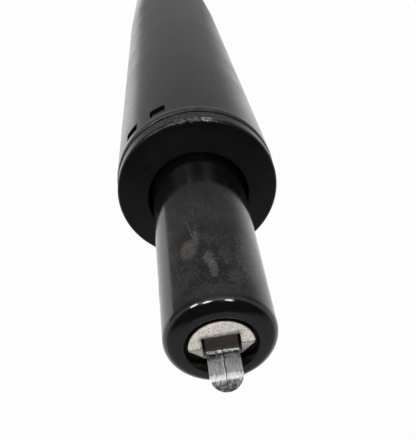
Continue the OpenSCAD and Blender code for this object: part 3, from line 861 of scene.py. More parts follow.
@dataclass(frozen=True)
class GlossPaint:
    """Gloss black paint of the tube, smeared and scuffed by handling between the collar and the rim."""

    name: str = "tube_gloss_paint"
    colour: Colour = (0.0022, 0.0022, 0.0026)
    film: Colour = (0.036, 0.0354, 0.0330)
    scuffed: Colour = (0.15, 0.148, 0.142)
    dust: Colour = (0.30, 0.29, 0.27)
    roughness: float = 0.075
    worn_rougher: float = 0.16
    collar_rougher: float = 0.03
    rim_rougher: float = 0.04
    shine: float = 0.45
    clean_to_z: float = 254.0
    dirt_full_from_z: float = 276.0
    rim_z: float = 304.2
    loose: float = 0.15
    smear: Clouds = Clouds(0.16, 0.34, 0.74, 6.0, 0.3)
    mottle: Clouds = Clouds(1.8, 0.40, 0.64, 7.0)
    smudge: Clouds = Clouds(0.45, 0.44, 0.66, 6.0, 0.3)
    flecks: Clouds = Clouds(2.6, 0.38, 0.66, 7.0)
    marks: tuple[Mark, ...] = (
        Mark((4.2, -12.1, 288.0), (2.7, 3.0, 4.4), 0.12, (0.135, 0.114, 0.098), 0.78),
        Mark((-9.0, -9.0, 291.0), (3.9, 5.0, 11.5), 0.50, (0.090, 0.089, 0.078), 0.80),
        Mark((-1.5, -12.3, 303.2), (9.0, 4.5, 2.8), 0.25, (0.050, 0.048, 0.042), 0.32, Wear.STAIN),
        Mark((7.5, -10.5, 288.3), (1.4, 1.4, 3.0), 0.80, (0.100, 0.098, 0.090), 0.25),
        Mark((-0.1, -12.80, 292.6), (1.5, 1.8, 3.8), 0.45, (0.160, 0.158, 0.146), 0.70),
        Mark((-0.8, -12.70, 296.0), (1.4, 1.8, 3.8), 0.45, (0.160, 0.158, 0.146), 0.66),
        Mark((-3.9, -12.2, 291.6), (2.2, 2.2, 5.2), 0.80, (0.100, 0.099, 0.094), 0.32),
        Mark((-5.3, -11.5, 298.8), (2.4, 2.4, 3.2), 0.70, (0.100, 0.099, 0.092), 0.38),
        Mark((2.2, -12.9, 284.6), (1.2, 1.6, 3.6), 0.55, (0.130, 0.128, 0.122), 0.48),
    )
    scratches: tuple[Scratch, ...] = (
        Scratch((1.94, -13.75, 250.5), (2.11, -13.30, 268.6), 0.16, 0.14),
        Scratch((-6.56, -11.76, 266.3), (-7.38, -11.22, 267.7), 0.22, 0.60),
        Scratch((-7.38, -11.22, 267.7), (-7.94, -10.80, 269.2), 0.22, 0.60),
        Scratch((4.41, -12.48, 275.2), (3.51, -12.63, 280.8), 0.16, 0.45),
        Scratch((3.51, -12.63, 280.8), (2.80, -12.70, 284.4), 0.20, 0.60),
        Scratch((2.12, -13.14, 272.3), (2.08, -13.00, 278.4), 0.14, 0.28),
        Scratch((2.30, -12.89, 280.6), (2.25, -12.80, 285.0), 0.24, 0.45),
        Scratch((2.25, -12.80, 285.0), (1.92, -12.78, 288.2), 0.20, 0.45),
        Scratch((3.20, -12.75, 281.4), (2.20, -12.85, 282.6), 0.16, 0.45),
        Scratch((0.70, -12.98, 284.9), (-0.51, -12.94, 286.7), 0.15, 0.36),
        Scratch((-0.85, -12.95, 285.7), (-1.72, -12.86, 286.2), 0.13, 0.36),
        Scratch((-1.72, -12.86, 286.2), (-2.52, -12.75, 285.0), 0.13, 0.36),
        Scratch((-1.19, -12.90, 286.9), (-2.23, -12.74, 287.7), 0.13, 0.32),
        Scratch((-3.68, -12.22, 292.6), (-3.70, -12.20, 294.6), 0.20, 0.50),
        Scratch((-0.93, -12.65, 297.2), (-1.89, -12.47, 300.2), 0.18, 0.36),
        Scratch((7.44, -10.47, 291.1), (6.97, -10.64, 296.0), 0.22, 0.30),
    )

    def make(self) -> Material:
        """Builds the material, with less film, smudging, hairs and dust near the collar, where the darker
        bare paint is painted shade, and hardly any on the rim.

        Returns:
            The material.
        """
        paint = Finish(self.name)
        z = paint.parts(paint.place)["Z"]
        # Share of film, smudging, hairs and dust: low next to the collar, so that the tube is darker there
        # as painted shade, and low on the rim.
        dirt_share = paint.times(
            paint.ramp(z, self.clean_to_z, self.dirt_full_from_z, 0.18, 1.0),
            paint.ramp(z, self.rim_z + 0.4, self.rim_z - 1.0, 0.06, 1.0)
        )
        peel = paint.effect(EFFECTS.surface_grain, "Height", Size=0.7)
        hairs = paint.effect(EFFECTS.hair_scratches, Width=0.05, Cover=0.30)
        dust = paint.effect(EFFECTS.settled_dust, Spacing=0.9, Cover=0.35)
        film = paint.times(paint.plus(paint.clouds(self.smear), paint.clouds(self.mottle)), dirt_share, 0.5)
        wear_and_sheen = paint.times(paint.most(paint.clouds(self.smudge), film), dirt_share)
        flecked = paint.blend(paint.clouds(self.flecks), 0.25, 1.0)
        colour = paint.tint(film, self.colour, self.film)
        for mark in self.marks:
            mask = paint.times(mark.mask(paint), mark.strength)
            if mark.wear is Wear.SCUFF:
                mask = paint.times(mask, flecked)
            colour = paint.tint(mask, colour, mark.colour)
            wear_and_sheen = paint.most(wear_and_sheen, mask)
        for line in self.scratches:
            mask = paint.effect(EFFECTS.scratch_line, Start=line.start, End=line.end, Width=line.width)
            colour = paint.tint(paint.times(mask, line.strength), colour, self.scuffed)
        loose = paint.times(dirt_share, self.loose)
        colour = paint.coats(colour, (hairs, loose, self.scuffed), (dust, loose, self.dust))
        rough = paint.plus(
            paint.blend(wear_and_sheen, self.roughness, self.roughness + self.worn_rougher),
            paint.ramp(z, self.clean_to_z + 4.0, self.dirt_full_from_z, self.collar_rougher, 0.0),
            paint.ramp(z, self.rim_z - 1.0, self.rim_z, 0.0, self.rim_rougher)
        )
        paint.feed(Base_Color=colour, Roughness=rough, Specular_IOR_Level=self.shine)
        paint.relief((peel, 0.0012), (hairs, -0.0008))
        return paint.material


@dataclass(frozen=True)
class MouldedPlastic:
    """Black moulded plastic of the guide bush: a dull fine grain, a little lint, a chafed collar edge with
    a painted highlight along it, painted sheen on the collar's side and the snap tabs, and painted shade in
    the mouth.
    """

    name: str = "bush_moulded_plastic"
    colour: Colour = (0.0022, 0.0022, 0.0023)
    cloudy: float = 1.5
    lint: Colour = (0.12, 0.115, 0.11)
    edge: Colour = (0.05, 0.05, 0.05)
    # Grey of the painted sheen on the collar's side and the snap tabs.
    highlight_grey: Colour = (0.055, 0.055, 0.056)
    # Colour of the painted shade in the mouth of the bush.
    painted_shade: Colour = (0.0008, 0.0008, 0.0008)
    roughness: float = 0.26
    inner_roughness: float = 0.38
    shine: float = 0.17
    collar_z: float = 243.9
    neck_z: float = 239.1
    side_sheen: float = 0.6
    tab_z: float = 232.5
    tab_half: float = 1.0
    tab_sheen: float = 0.15
    tab_r: float = 24.4
    mouth_r: float = 15.05
    inner_r: float = 20.5
    mottle: Clouds = Clouds(1.1, 0.40, 0.62, 6.0, 0.4)
    # Colour of the chafe specks and of the painted highlight along the collar edge.
    chafe_and_highlight: Colour = (0.34, 0.325, 0.30)
    chafe: Patch = Patch((-5.4, -23.8, 243.7), (2.6, 1.6, 1.0), 0.4)
    highlight_band: Patch = Patch((-2.5, -24.0, 243.6), (11.0, 4.0, 1.1), 0.4)
    highlight_band_share: float = 0.3

    def make(self) -> Material:
        """Builds the material.

        Returns:
            The material.
        """
        plastic = Finish(self.name)
        z = plastic.parts(plastic.place)["Z"]
        r = plastic.radius(plastic.place)
        tone = plastic.effect(EFFECTS.surface_grain, "Tone", Size=0.6)
        grain = plastic.effect(EFFECTS.surface_grain, "Height", Size=0.16)
        lint = plastic.effect(EFFECTS.settled_dust, Spacing=2.0, Cover=0.2)
        hairs = plastic.effect(EFFECTS.hair_scratches, Width=0.04, Cover=0.3)
        edge = plastic.effect(EFFECTS.height_band, Level=self.collar_z, Half=0.3, Ragged=0.5)
        # Painted sheen: the faces of the snap tabs and the side of the collar are made lighter, where they
        # catch the light.
        tab = plastic.effect(EFFECTS.height_band, Level=self.tab_z, Half=self.tab_half, Ragged=0.15)
        mottle = plastic.clouds(self.mottle)
        side = plastic.times(
            plastic.calc("GREATER_THAN", z, self.neck_z), self.side_sheen,
            plastic.ramp(z, self.collar_z, self.collar_z - 1.2), plastic.blend(mottle, 0.6, 1.4)
        )
        wear_and_sheen = plastic.most(plastic.times(tab, self.tab_sheen), side)
        wear_and_sheen = plastic.times(wear_and_sheen, plastic.ramp(r, self.tab_r - 0.25, self.tab_r - 0.1))
        # Chafe specks on the collar edge, which are partly a painted highlight, and a painted highlight
        # band along that edge.
        chafe_and_highlight = plastic.most(
            plastic.times(self.chafe.mask(plastic), plastic.blend(mottle, 0.25, 0.9)),
            plastic.times(self.highlight_band.mask(plastic), mottle, self.highlight_band_share)
        )
        # Painted shade: black in the mouth of the bush, made metallic so that it mirrors nothing.
        mouth_shade = plastic.ramp(r, self.mouth_r + 0.35, self.mouth_r, 0.0, 0.8)
        colour = plastic.coats(
            plastic.tint(tone, self.colour, dimmed(self.colour, self.cloudy)),
            (edge, 0.12, self.edge), (wear_and_sheen, 1.0, self.highlight_grey), (chafe_and_highlight, 1.0, self.chafe_and_highlight),
            (hairs, 0.10, self.lint), (lint, 0.30, self.lint), (mouth_shade, 1.0, self.painted_shade)
        )
        rough = plastic.blend(tone, self.roughness - 0.05, self.roughness + 0.06)
        inner = plastic.ramp(r, self.inner_r + 2.5, self.inner_r)
        rough = plastic.blend(inner, plastic.blend(edge, rough, self.inner_roughness), self.inner_roughness)
        plastic.feed(Base_Color=colour, Roughness=rough, Metallic=mouth_shade, Specular_IOR_Level=self.shine)
        plastic.relief((grain, 0.003))
        return plastic.material


@dataclass(frozen=True)
class ZincPlate:
    """Zinc plate of the release lever: brushed, scored down the middle and brown on the foot and the tip,
    with painted highlights on the bend, the knee and beside the score, and painted shade in the score and
    on the top of the tab.
    """

    name: str = "lever_zinc_plate"
    colour: Colour = (0.76, 0.79, 0.785)
    dull: Colour = (0.41, 0.438, 0.442)
    # Colour of the painted highlights on the bend, the knee and beside the score.
    bright: Colour = (0.95, 0.95, 0.94)
    brown: Colour = (0.024, 0.016, 0.011)
    tip_brown: Colour = (0.044, 0.035, 0.030)
    # Colour of the painted shade in the score and on the top of the tab.
    painted_shade: Colour = (0.05, 0.048, 0.046)
    roughness: float = 0.36
    tip_roughness: float = 0.62
    plate_metal: float = 0.80
    highlight_metal: float = 0.10
    brown_metal: float = 0.06
    shine: float = 0.25
    knee_y: float = 0.7
    foot_z: float = 306.4
    tab_z: float = 307.3
    pale_z: float = 309.9
    score_half: float = 0.20
    highlight_beside_score: float = 0.36
    bend_z: float = 313.3
    brushing: Spot = (7.0, 0.6, 0.6)
    cloud: Clouds = Clouds(0.9, 0.40, 0.64, 5.0, 0.8)
    mottle: Clouds = Clouds(1.8, 0.42, 0.60, 5.0, 0.5)
    tip: Patch = Patch((0.0, 2.5, 316.0), (9.0, 3.2, 3.2), 0.25)
    bend: Patch = Patch((0.0, 1.35, 313.5), (9.0, 1.15, 0.95), 0.4)
    knee: Patch = Patch((0.0, 1.2, 307.0), (9.0, 0.5, 0.42), 0.25)

    def make(self) -> Material:
        """Builds the material.

        Returns:
            The material.
        """
        zinc = Finish(self.name)
        x, y, z = zinc.parts(zinc.place)
        brushed = zinc.put("ShaderNodeMapping", {"Vector": zinc.place, "Scale": self.brushing}).outputs[0]
        lines = zinc.ramp(zinc.noise(brushed, 1.0, 5.0), 0.36, 0.64)
        cloud = zinc.clouds(self.cloud)
        mottle = zinc.clouds(self.mottle)
        # Painted shade: the top of the tab darker, near the block.
        lower = zinc.ramp(zinc.plus(z, cloud), self.tab_z + 0.6, self.pale_z, 0.95, 0.0)
        # Brown, mottled tip.
        tip = self.tip.mask(zinc)
        tip_brown_share = zinc.times(tip, zinc.blend(zinc.times(mottle, lines), 1.0, 0.58))
        # Painted highlight: a bright band across the bend.
        bend = zinc.less(self.bend.mask(zinc), zinc.times(mottle, zinc.blend(lines, 0.5, 0.0)))
        bend = zinc.times(zinc.ramp(bend, 0.0, 0.9), zinc.blend(lines, 0.55, 0.92))
        # Painted highlight: a bright line beside the score.
        lip = zinc.times(
            self._score(zinc, zinc.less(x, self.highlight_beside_score)),
            zinc.ramp(z, self.tab_z, self.tab_z + 1.0, 0.0, 0.75),
            zinc.ramp(z, self.bend_z + 1.0, self.bend_z)
        )
        # Painted highlight: a bright line along the knee.
        knee = zinc.times(self.knee.mask(zinc), zinc.blend(mottle, 0.2, 0.95))
        foot = zinc.times(
            zinc.ramp(y, self.knee_y + 0.1, self.knee_y - 0.4),
            zinc.ramp(z, self.foot_z + 0.7, self.foot_z + 0.2, 0.0, 0.92)
        )
        # Painted shade in the score and on the top of the tab, painted highlights on the bend, beside the
        # score and on the knee.
        colour = zinc.coats(
            zinc.tint(lines, self.dull, self.colour),
            (cloud, 0.45, self.dull), (lower, 1.0, self.painted_shade), (tip_brown_share, 1.0, self.tip_brown),
            (bend, 1.0, self.bright), (lip, 1.0, self.bright), (self._score(zinc, x), 1.0, self.painted_shade),
            (knee, 1.0, self.bright), (foot, 1.0, self.brown)
        )
        rough = zinc.blend(cloud, self.roughness - 0.06, self.roughness + 0.1)
        # Less metal where the highlights are painted.
        metal = zinc.blend(zinc.most(bend, knee), self.plate_metal, self.highlight_metal)
        zinc.feed(
            Base_Color=colour, Roughness=zinc.blend(tip, rough, self.tip_roughness),
            Metallic=zinc.blend(zinc.most(foot, tip), metal, self.brown_metal),
            Specular_IOR_Level=self.shine
        )
        zinc.relief((lines, 0.004), (mottle, 0.006))
        return zinc.material

    def _score(self, zinc: Finish, across: Socket) -> Socket:
        """A wavy line down the lever, between 0 and 1, from the distance to its middle in millimetres."""
        off = zinc.calc("ABSOLUTE", zinc.plus(across, zinc.times(zinc.stir(zinc.place, 0.6, 3.0), 0.5)))
        return zinc.ramp(off, self.score_half, self.score_half * 0.3, 0.0, 0.85)


@dataclass(frozen=True)
class DieCast:
    """Bare die casting of the lever block: pale and speckled, with black painted shade round its boss,
    along the ridge of its slope, behind the notch and lower down.
    """

    name: str = "block_die_cast"
    colour: Colour = (0.60, 0.555, 0.50)
    bright: Colour = (0.74, 0.705, 0.645)
    speckle: Colour = (0.20, 0.172, 0.150)
    # Colour of the painted shade.
    painted_shade: Colour = (0.003, 0.003, 0.003)
    roughness: float = 0.58
    metal: float = 0.12
    grain_mm: float = 0.14
    boss_r: float = 7.2
    face_z: float = 307.0
    ridge_y: float = -0.45
    flank_r: float = 6.287
    flank_angle: float = 25.5
    dark_z: float = 301.0
    notch_y: float = -3.4
    notch_half: float = 4.2
    pits: Clouds = Clouds(2.8, 0.48, 0.66, 7.0)

    def make(self) -> Material:
        """Builds the material.

        Returns:
            The material.
        """
        cast = Finish(self.name)
        tone = cast.effect(EFFECTS.surface_grain, "Tone", Size=self.grain_mm)
        grain = cast.effect(EFFECTS.surface_grain, "Height", Size=self.grain_mm)
        dark = cast.effect(EFFECTS.settled_dust, Spacing=0.5, Cover=0.7)
        pits = cast.clouds(self.pits)
        # Painted shade in the gaps, the crease and the hollows of the block, black and not metallic.
        painted_shade = self._painted_shade(cast)
        colour = cast.coats(
            cast.tint(cast.times(tone, 0.6), self.colour, self.bright),
            (pits, 0.65, self.speckle), (dark, 0.3, self.speckle), (painted_shade, 1.0, self.painted_shade)
        )
        rough = cast.blend(tone, self.roughness + 0.06, self.roughness - 0.06)
        cast.feed(Base_Color=colour, Roughness=rough, Metallic=cast.blend(painted_shade, self.metal, 0.0))
        cast.relief((grain, 0.012), (pits, -0.014))
        return cast.material

    def _painted_shade(self, cast: Finish) -> Socket:
        """Painted shade round the boss and its flanks, along the ridge of its slope, behind the notch and
        lower down.

        Args:
            cast: The material under work.

        Returns:
            The share of painted shade, between 0 and 1.
        """
        x, y, z = cast.parts(cast.place)
        across = cast.calc("ABSOLUTE", x)
        stir = cast.stir(cast.place, 0.9, 4.0)
        lean = math.radians(self.flank_angle)
        reach = cast.plus(cast.times(across, math.cos(lean)), cast.times(y, math.sin(lean)))
        # Painted shade in the gap round the boss and beside its flanks.
        beside = cast.most(
            cast.ramp(cast.radius(cast.place), self.boss_r - 0.2, self.boss_r - 0.02),
            cast.ramp(reach, self.flank_r - 0.08, self.flank_r + 0.02)
        )
        gap = cast.times(beside, cast.ramp(z, self.face_z - 0.1, self.face_z - 0.6))
        # Painted shade along the crease where the slope starts.
        off = cast.plus(cast.apart(y, self.ridge_y), cast.times(stir, 0.5))
        ridge = cast.ramp(off, 0.27, 0.10, 0.0, 0.92)
        # Painted shade behind the notch, along its rear edge.
        behind = cast.plus(y, cast.times(stir, 1.2))
        rear = cast.times(
            cast.ramp(behind, self.notch_y - 1.5, self.notch_y, 0.0, 0.8),
            cast.ramp(across, self.notch_half + 0.9, self.notch_half - 0.6),
            cast.ramp(y, self.notch_y + 0.6, self.notch_y + 0.4)
        )
        # Painted shade deeper down, and a little over the slope.
        depth = cast.plus(z, cast.times(stir, 2.5))
        low = cast.ramp(depth, self.face_z - 0.2, self.dark_z, 0.0, 0.9)
        slope = cast.ramp(y, self.ridge_y, self.ridge_y + 0.3, 0.0, 0.2)
        return cast.most(gap, ridge, rear, low, slope)


@dataclass(frozen=True)
class PlainMetal:
    """A bare or plated metal of the inner works."""

    name: str
    colour: Colour
    roughness: float
    grain: Grain
    metallic: float = 1.0
    stain: float = 0.25
    cloud: Clouds = Clouds(0.22, 0.36, 0.7, 4.0, 0.5)

    def make(self) -> Material:
        """Builds the material.

        Returns:
            The material.
        """
        metal = Finish(self.name)
        height, depth = self._surface(metal)
        cloud = metal.clouds(self.cloud)
        specks = metal.effect(EFFECTS.settled_dust, Spacing=1.1, Cover=0.2)
        dull = dimmed(self.colour, 0.62)
        colour = metal.coats(
            metal.tint(metal.ramp(height, 0.25, 0.75), dimmed(self.colour, 0.86), self.colour),
            (cloud, self.stain, dull), (specks, 0.3, dull)
        )
        rough = metal.blend(cloud, self.roughness, self.roughness + 0.12)
        metal.feed(Base_Color=colour, Roughness=rough, Metallic=self.metallic)
        metal.relief((height, depth))
        return metal.material

    def _surface(self, metal: Finish) -> tuple[Socket, float]:
        """Relief that the making left.

        Args:
            metal: The material under work.

        Returns:
            The height between 0 and 1, and its depth in millimetres.
        """
        if self.grain is Grain.TURNED:
            return metal.effect(EFFECTS.lathe_rings, "Height", Pitch=0.14), 0.004
        if self.grain is Grain.GROUND:
            return metal.effect(EFFECTS.lathe_rings, "Height", Pitch=0.05), 0.0006
        if self.grain is Grain.DRAWN:
            feeds = {"Vector": metal.place, "Scale": (6.0, 6.0, 0.06)}
            return metal.noise(metal.put("ShaderNodeMapping", feeds).outputs[0], 1.0, 3.0), 0.003
        return metal.effect(EFFECTS.surface_grain, "Height", Size=0.3), 0.004


@dataclass(frozen=True)
class SoftStuff:
    """A moulded rubber or polymer of the inner works."""

    name: str
    colour: Colour
    wear_and_sheen: Colour
    roughness: float
    grain_mm: float = 0.18

    def make(self) -> Material:
        """Builds the material.

        Returns:
            The material.
        """
        stuff = Finish(self.name)
        tone = stuff.effect(EFFECTS.surface_grain, "Tone", Size=self.grain_mm)
        grain = stuff.effect(EFFECTS.surface_grain, "Height", Size=self.grain_mm)
        dust = stuff.effect(EFFECTS.settled_dust, Spacing=1.4, Cover=0.3)
        colour = stuff.tint(stuff.times(tone, 0.6), self.colour, self.wear_and_sheen)
        colour = stuff.tint(stuff.times(dust, 0.4), colour, self.wear_and_sheen)
        rough = stuff.blend(tone, self.roughness - 0.06, self.roughness + 0.06)
        stuff.feed(Base_Color=colour, Roughness=rough)
        stuff.relief((grain, 0.005))
        return stuff.material


@dataclass
class OuterColumn:
    """Column with the base taper at its foot and four snap windows near its top. Sizes in millimetres."""

    r: float = 25.0
    wall: float = 2.0
    length: float = 238.5
    base_taper_len: float = 62.0
    taper_ring_z: float = 60.0
    rings: tuple[float, ...] = (64.0, 120.0, 180.0, 226.0, 228.8, 235.2, 236.2)
    foot_lip: float = 3.5
    foot_t: float = 2.0
    foot_edge: float = 1.2
    top_edge: float = 1.6
    window_w: float = 5.2
    window_h: float = 4.8
    window_corner: float = 0.6
    window_z: float = 232.0
    window_angles: tuple[float, ...] = (-70.0, -46.0, 110.0, 134.0)
    spare: float = 0.6

    def r_at(self, z: float) -> float:
        """Outer radius at a height."""
        return self.r - max(0.0, self.base_taper_len - z) * TAPER

    def section(self) -> list[Corner]:
        """Section of the column, from the foot up the outside and down the bore.

        Returns:
            Its corners in order.
        """
        bore = self.r - self.wall
        lip = self.r_at(0) - self.wall - self.foot_lip
        return [
            Corner(lip, 0.0, SOFT_EDGE),
            Corner(self.r_at(0), 0.0, self.foot_edge),
            Corner(self.r_at(self.taper_ring_z), self.taper_ring_z),
            Corner(self.r, self.base_taper_len),
            *[Corner(self.r, z) for z in self.rings],
            Corner(self.r, self.length, self.top_edge),
            Corner(bore, self.length),
            *[Corner(bore, z) for z in reversed(self.rings)],
            Corner(bore, self.base_taper_len),
            Corner(self.r_at(self.foot_t) - self.wall, self.foot_t),
            Corner(lip, self.foot_t, SOFT_EDGE),
        ]

    def window_cutter(self) -> Workpiece:
        """A bar with rounded edges as large as a window, across the wall on +X.

        Returns:
            The cutter.
        """
        half_w = self.window_w / 2
        half_h = self.window_h / 2
        low = (self.r - self.wall - self.spare, -half_w, self.window_z - half_h)
        bar = Workpiece.bar("window_cutter", low, (self.r + self.spare, half_w, self.window_z + half_h))
        with bar.opened():
            bar.choose(Pick.EDGES, lambda edge: abs(edge.verts[0].co.x - edge.verts[1].co.x) > MM)
            bpy.ops.mesh.bevel(offset=self.window_corner * MM, segments=6, profile=0.5, affect="EDGES")
        return bar

    def build(self) -> None:
        """Models and dresses the column."""
        column = Workpiece.turned("column_shell", self.section())
        column.cut(*self.window_cutter().twins(self.window_angles))
        column.fit("column", "outer_column", "column_paint", SatinPaint().make())


@dataclass
class GuideBush:
    """Moulded bush: the collar that shows, a slit skirt with snap tabs, and ribs. Sizes in millimetres."""

    bore_r: float = 14.05
    relief_r: float = 14.45
    sleeve_r: float = 17.05
    rib_root_r: float = 15.55
    skirt_bore_r: float = 20.95
    skirt_r: float = 22.95
    neck_r: float = 23.6
    collar_r: float = 24.6
    mouth_r: float = 15.0
    foot_z: float = 148.5
    foot_top_z: float = 154.5
    foot_r: float = 22.45
    lower_land_z: float = 172.5
    upper_land_z: float = 214.5
    skirt_z: float = 220.5
    web_z: float = 236.0
    seat_z: float = 238.5
    neck_z: float = 239.1
    mouth_z: float = 240.8
    rim_z: float = 244.3
    lip_z: float = 247.0
    mouth_edge: float = 0.25
    lip_edge: float = 0.6
    collar_edge: float = 1.2
    neck_edge: float = 0.35
    web_edge: float = 0.4
    rib_top_z: float = 219.5
    rib_w: float = 2.2
    rib_lift: float = 0.2
    rib_gap: float = 0.05
    rib_count: int = 8
    rib_bearing: float = 32.0
    tab_w: float = 4.4
    tab_z0: float = 230.0
    tab_z1: float = 234.0
    tab_r: float = 24.4
    tab_ramp: float = 1.6
    tab_edge: float = 0.22
    slit_w: float = 0.8
    slit_y: float = 3.0
    slit_top_z: float = 234.4
    tab_angles: tuple[float, ...] = (-70.0, -46.0, 110.0, 134.0)
    spare: float = 0.4

    def section(self) -> list[Corner]:
        """Section of the bush, up the bore, over the collar and down the skirt and the sleeve.

        Returns:
            Its corners in order.
        """
        return [
            Corner(self.bore_r, self.foot_z, SOFT_EDGE),
            Corner(self.bore_r, self.lower_land_z),
            Corner(self.relief_r, self.lower_land_z),
            Corner(self.relief_r, self.upper_land_z),
            Corner(self.bore_r, self.upper_land_z),
            Corner(self.bore_r, self.mouth_z, self.mouth_edge),
            Corner(self.mouth_r, self.mouth_z, self.mouth_edge),
            Corner(self.mouth_r, self.lip_z, self.lip_edge),
            Corner(self.collar_r, self.rim_z, self.collar_edge),
            Corner(self.collar_r, self.neck_z, self.neck_edge),
            Corner(self.neck_r, self.neck_z),
            Corner(self.neck_r, self.seat_z),
            Corner(self.skirt_r, self.seat_z),
            Corner(self.skirt_r, self.skirt_z, SOFT_EDGE),
            Corner(self.skirt_bore_r, self.skirt_z, SOFT_EDGE),
            Corner(self.skirt_bore_r, self.web_z, self.web_edge),
            Corner(self.sleeve_r, self.web_z, self.web_edge),
            Corner(self.sleeve_r, self.foot_top_z, self.web_edge),
            Corner(self.skirt_r, self.foot_top_z, SOFT_EDGE),
            Corner(self.foot_r, self.foot_z, SOFT_EDGE),
        ]

    def slit_cutter(self, side: int) -> Workpiece:
        """A bar that cuts one slit beside a tab on +X.

        Args:
            side: -1 or 1 for the side of the tab.

        Returns:
            The cutter.
        """
        low = side * self.slit_y - self.slit_w / 2
        return Workpiece.bar(
            "slit_cutter", (self.skirt_bore_r - self.spare, low, self.skirt_z - 1.0),
            (self.skirt_r + self.spare, low + self.slit_w, self.slit_top_z)
        )

    def tab(self) -> Workpiece:
        """One snap tab with its ramp, on +X.

        Returns:
            The tab.
        """
        root = (self.skirt_bore_r + self.skirt_r) / 2
        outline = [
            (root, self.tab_z0), (self.skirt_r, self.tab_z0), (self.tab_r, self.tab_z0 + self.tab_ramp),
            (self.tab_r, self.tab_z1), (root, self.tab_z1),
        ]
        tab = Workpiece.plate("snap_tab", outline, [-self.tab_w / 2, 0.0, self.tab_w / 2])
        tab.settle(turn=(0, 0, -90))
        tab.break_edges(self.tab_edge)
        return tab

    def rib(self) -> Workpiece:
        """One rib between the sleeve and the column, on +X.

        Returns:
            The rib.
        """
        low = (self.rib_root_r, -self.rib_w / 2, self.foot_z + self.rib_lift)
        rib = Workpiece.bar("bush_rib", low, (self.skirt_r - self.rib_gap, self.rib_w / 2, self.rib_top_z))
        rib.break_edges(SOFT_EDGE)
        return rib

    def build(self) -> None:
        """Models and dresses the bush."""
        bush = Workpiece.turned("guide_collar_bush", self.section())
        for side in (-1, 1):
            bush.cut(*self.slit_cutter(side).twins(self.tab_angles))
        tabs = self.tab().twins(self.tab_angles)
        ribs = self.rib().twins(self.rib_bearing + i * 360 / self.rib_count for i in range(self.rib_count))
        bush.join(tabs + ribs)
        bush.fit("column", "guide_bush", "bush_plastic", MouldedPlastic().make())


@dataclass
class PressureTube:
    """Sliding tube with the seat taper and the turned-in rim. Sizes in millimetres."""

    r: float = 14.0
    wall: float = 2.0
    foot_hole_r: float = 7.5
    foot_z: float = 31.4
    foot_edge: float = 1.5
    cone_z: float = 245.3
    cone_blend: float = 0.4
    straight_rings: tuple[float, ...] = (60.0, 140.0, 220.0)
    cone_rings: tuple[float, ...] = (265.0, 285.0)
    top_z: float = 306.8
    rim_edge: float = 3.0
    rim_hole_r: float = 8.05
    rim_hole_edge: float = 0.35

    def section(self) -> list[Corner]:
        """Section of the tube, from the foot up the outside and down the bore.

        Returns:
            Its corners in order.
        """
        bore = self.r - self.wall
        rim_r = self.r - (self.top_z - self.cone_z) * TAPER
        rim_under_z = self.top_z - self.wall
        straight = (*self.straight_rings, self.cone_z - self.cone_blend)
        cone = (self.cone_z + self.cone_blend, *self.cone_rings)
        return [
            Corner(self.foot_hole_r, self.foot_z, SOFT_EDGE),
            Corner(self.r, self.foot_z, self.foot_edge),
            *[Corner(self.r, z) for z in straight],
            *[Corner(self.r - (z - self.cone_z) * TAPER, z) for z in cone],
            Corner(rim_r, self.top_z, self.rim_edge),
            Corner(self.rim_hole_r, self.top_z, self.rim_hole_edge),
            Corner(self.rim_hole_r, rim_under_z),
            Corner(bore - (rim_under_z - self.cone_z) * TAPER, rim_under_z),
            Corner(bore, self.cone_z),
            Corner(bore, self.foot_z + self.wall),
            Corner(self.foot_hole_r, self.foot_z + self.wall),
        ]

    def build(self) -> None:
        """Models and dresses the tube."""
        tube = Workpiece.turned("tapered_gas_tube", self.section())
        tube.fit("gas_cylinder", "pressure_tube", "tube_paint", GlossPaint().make())


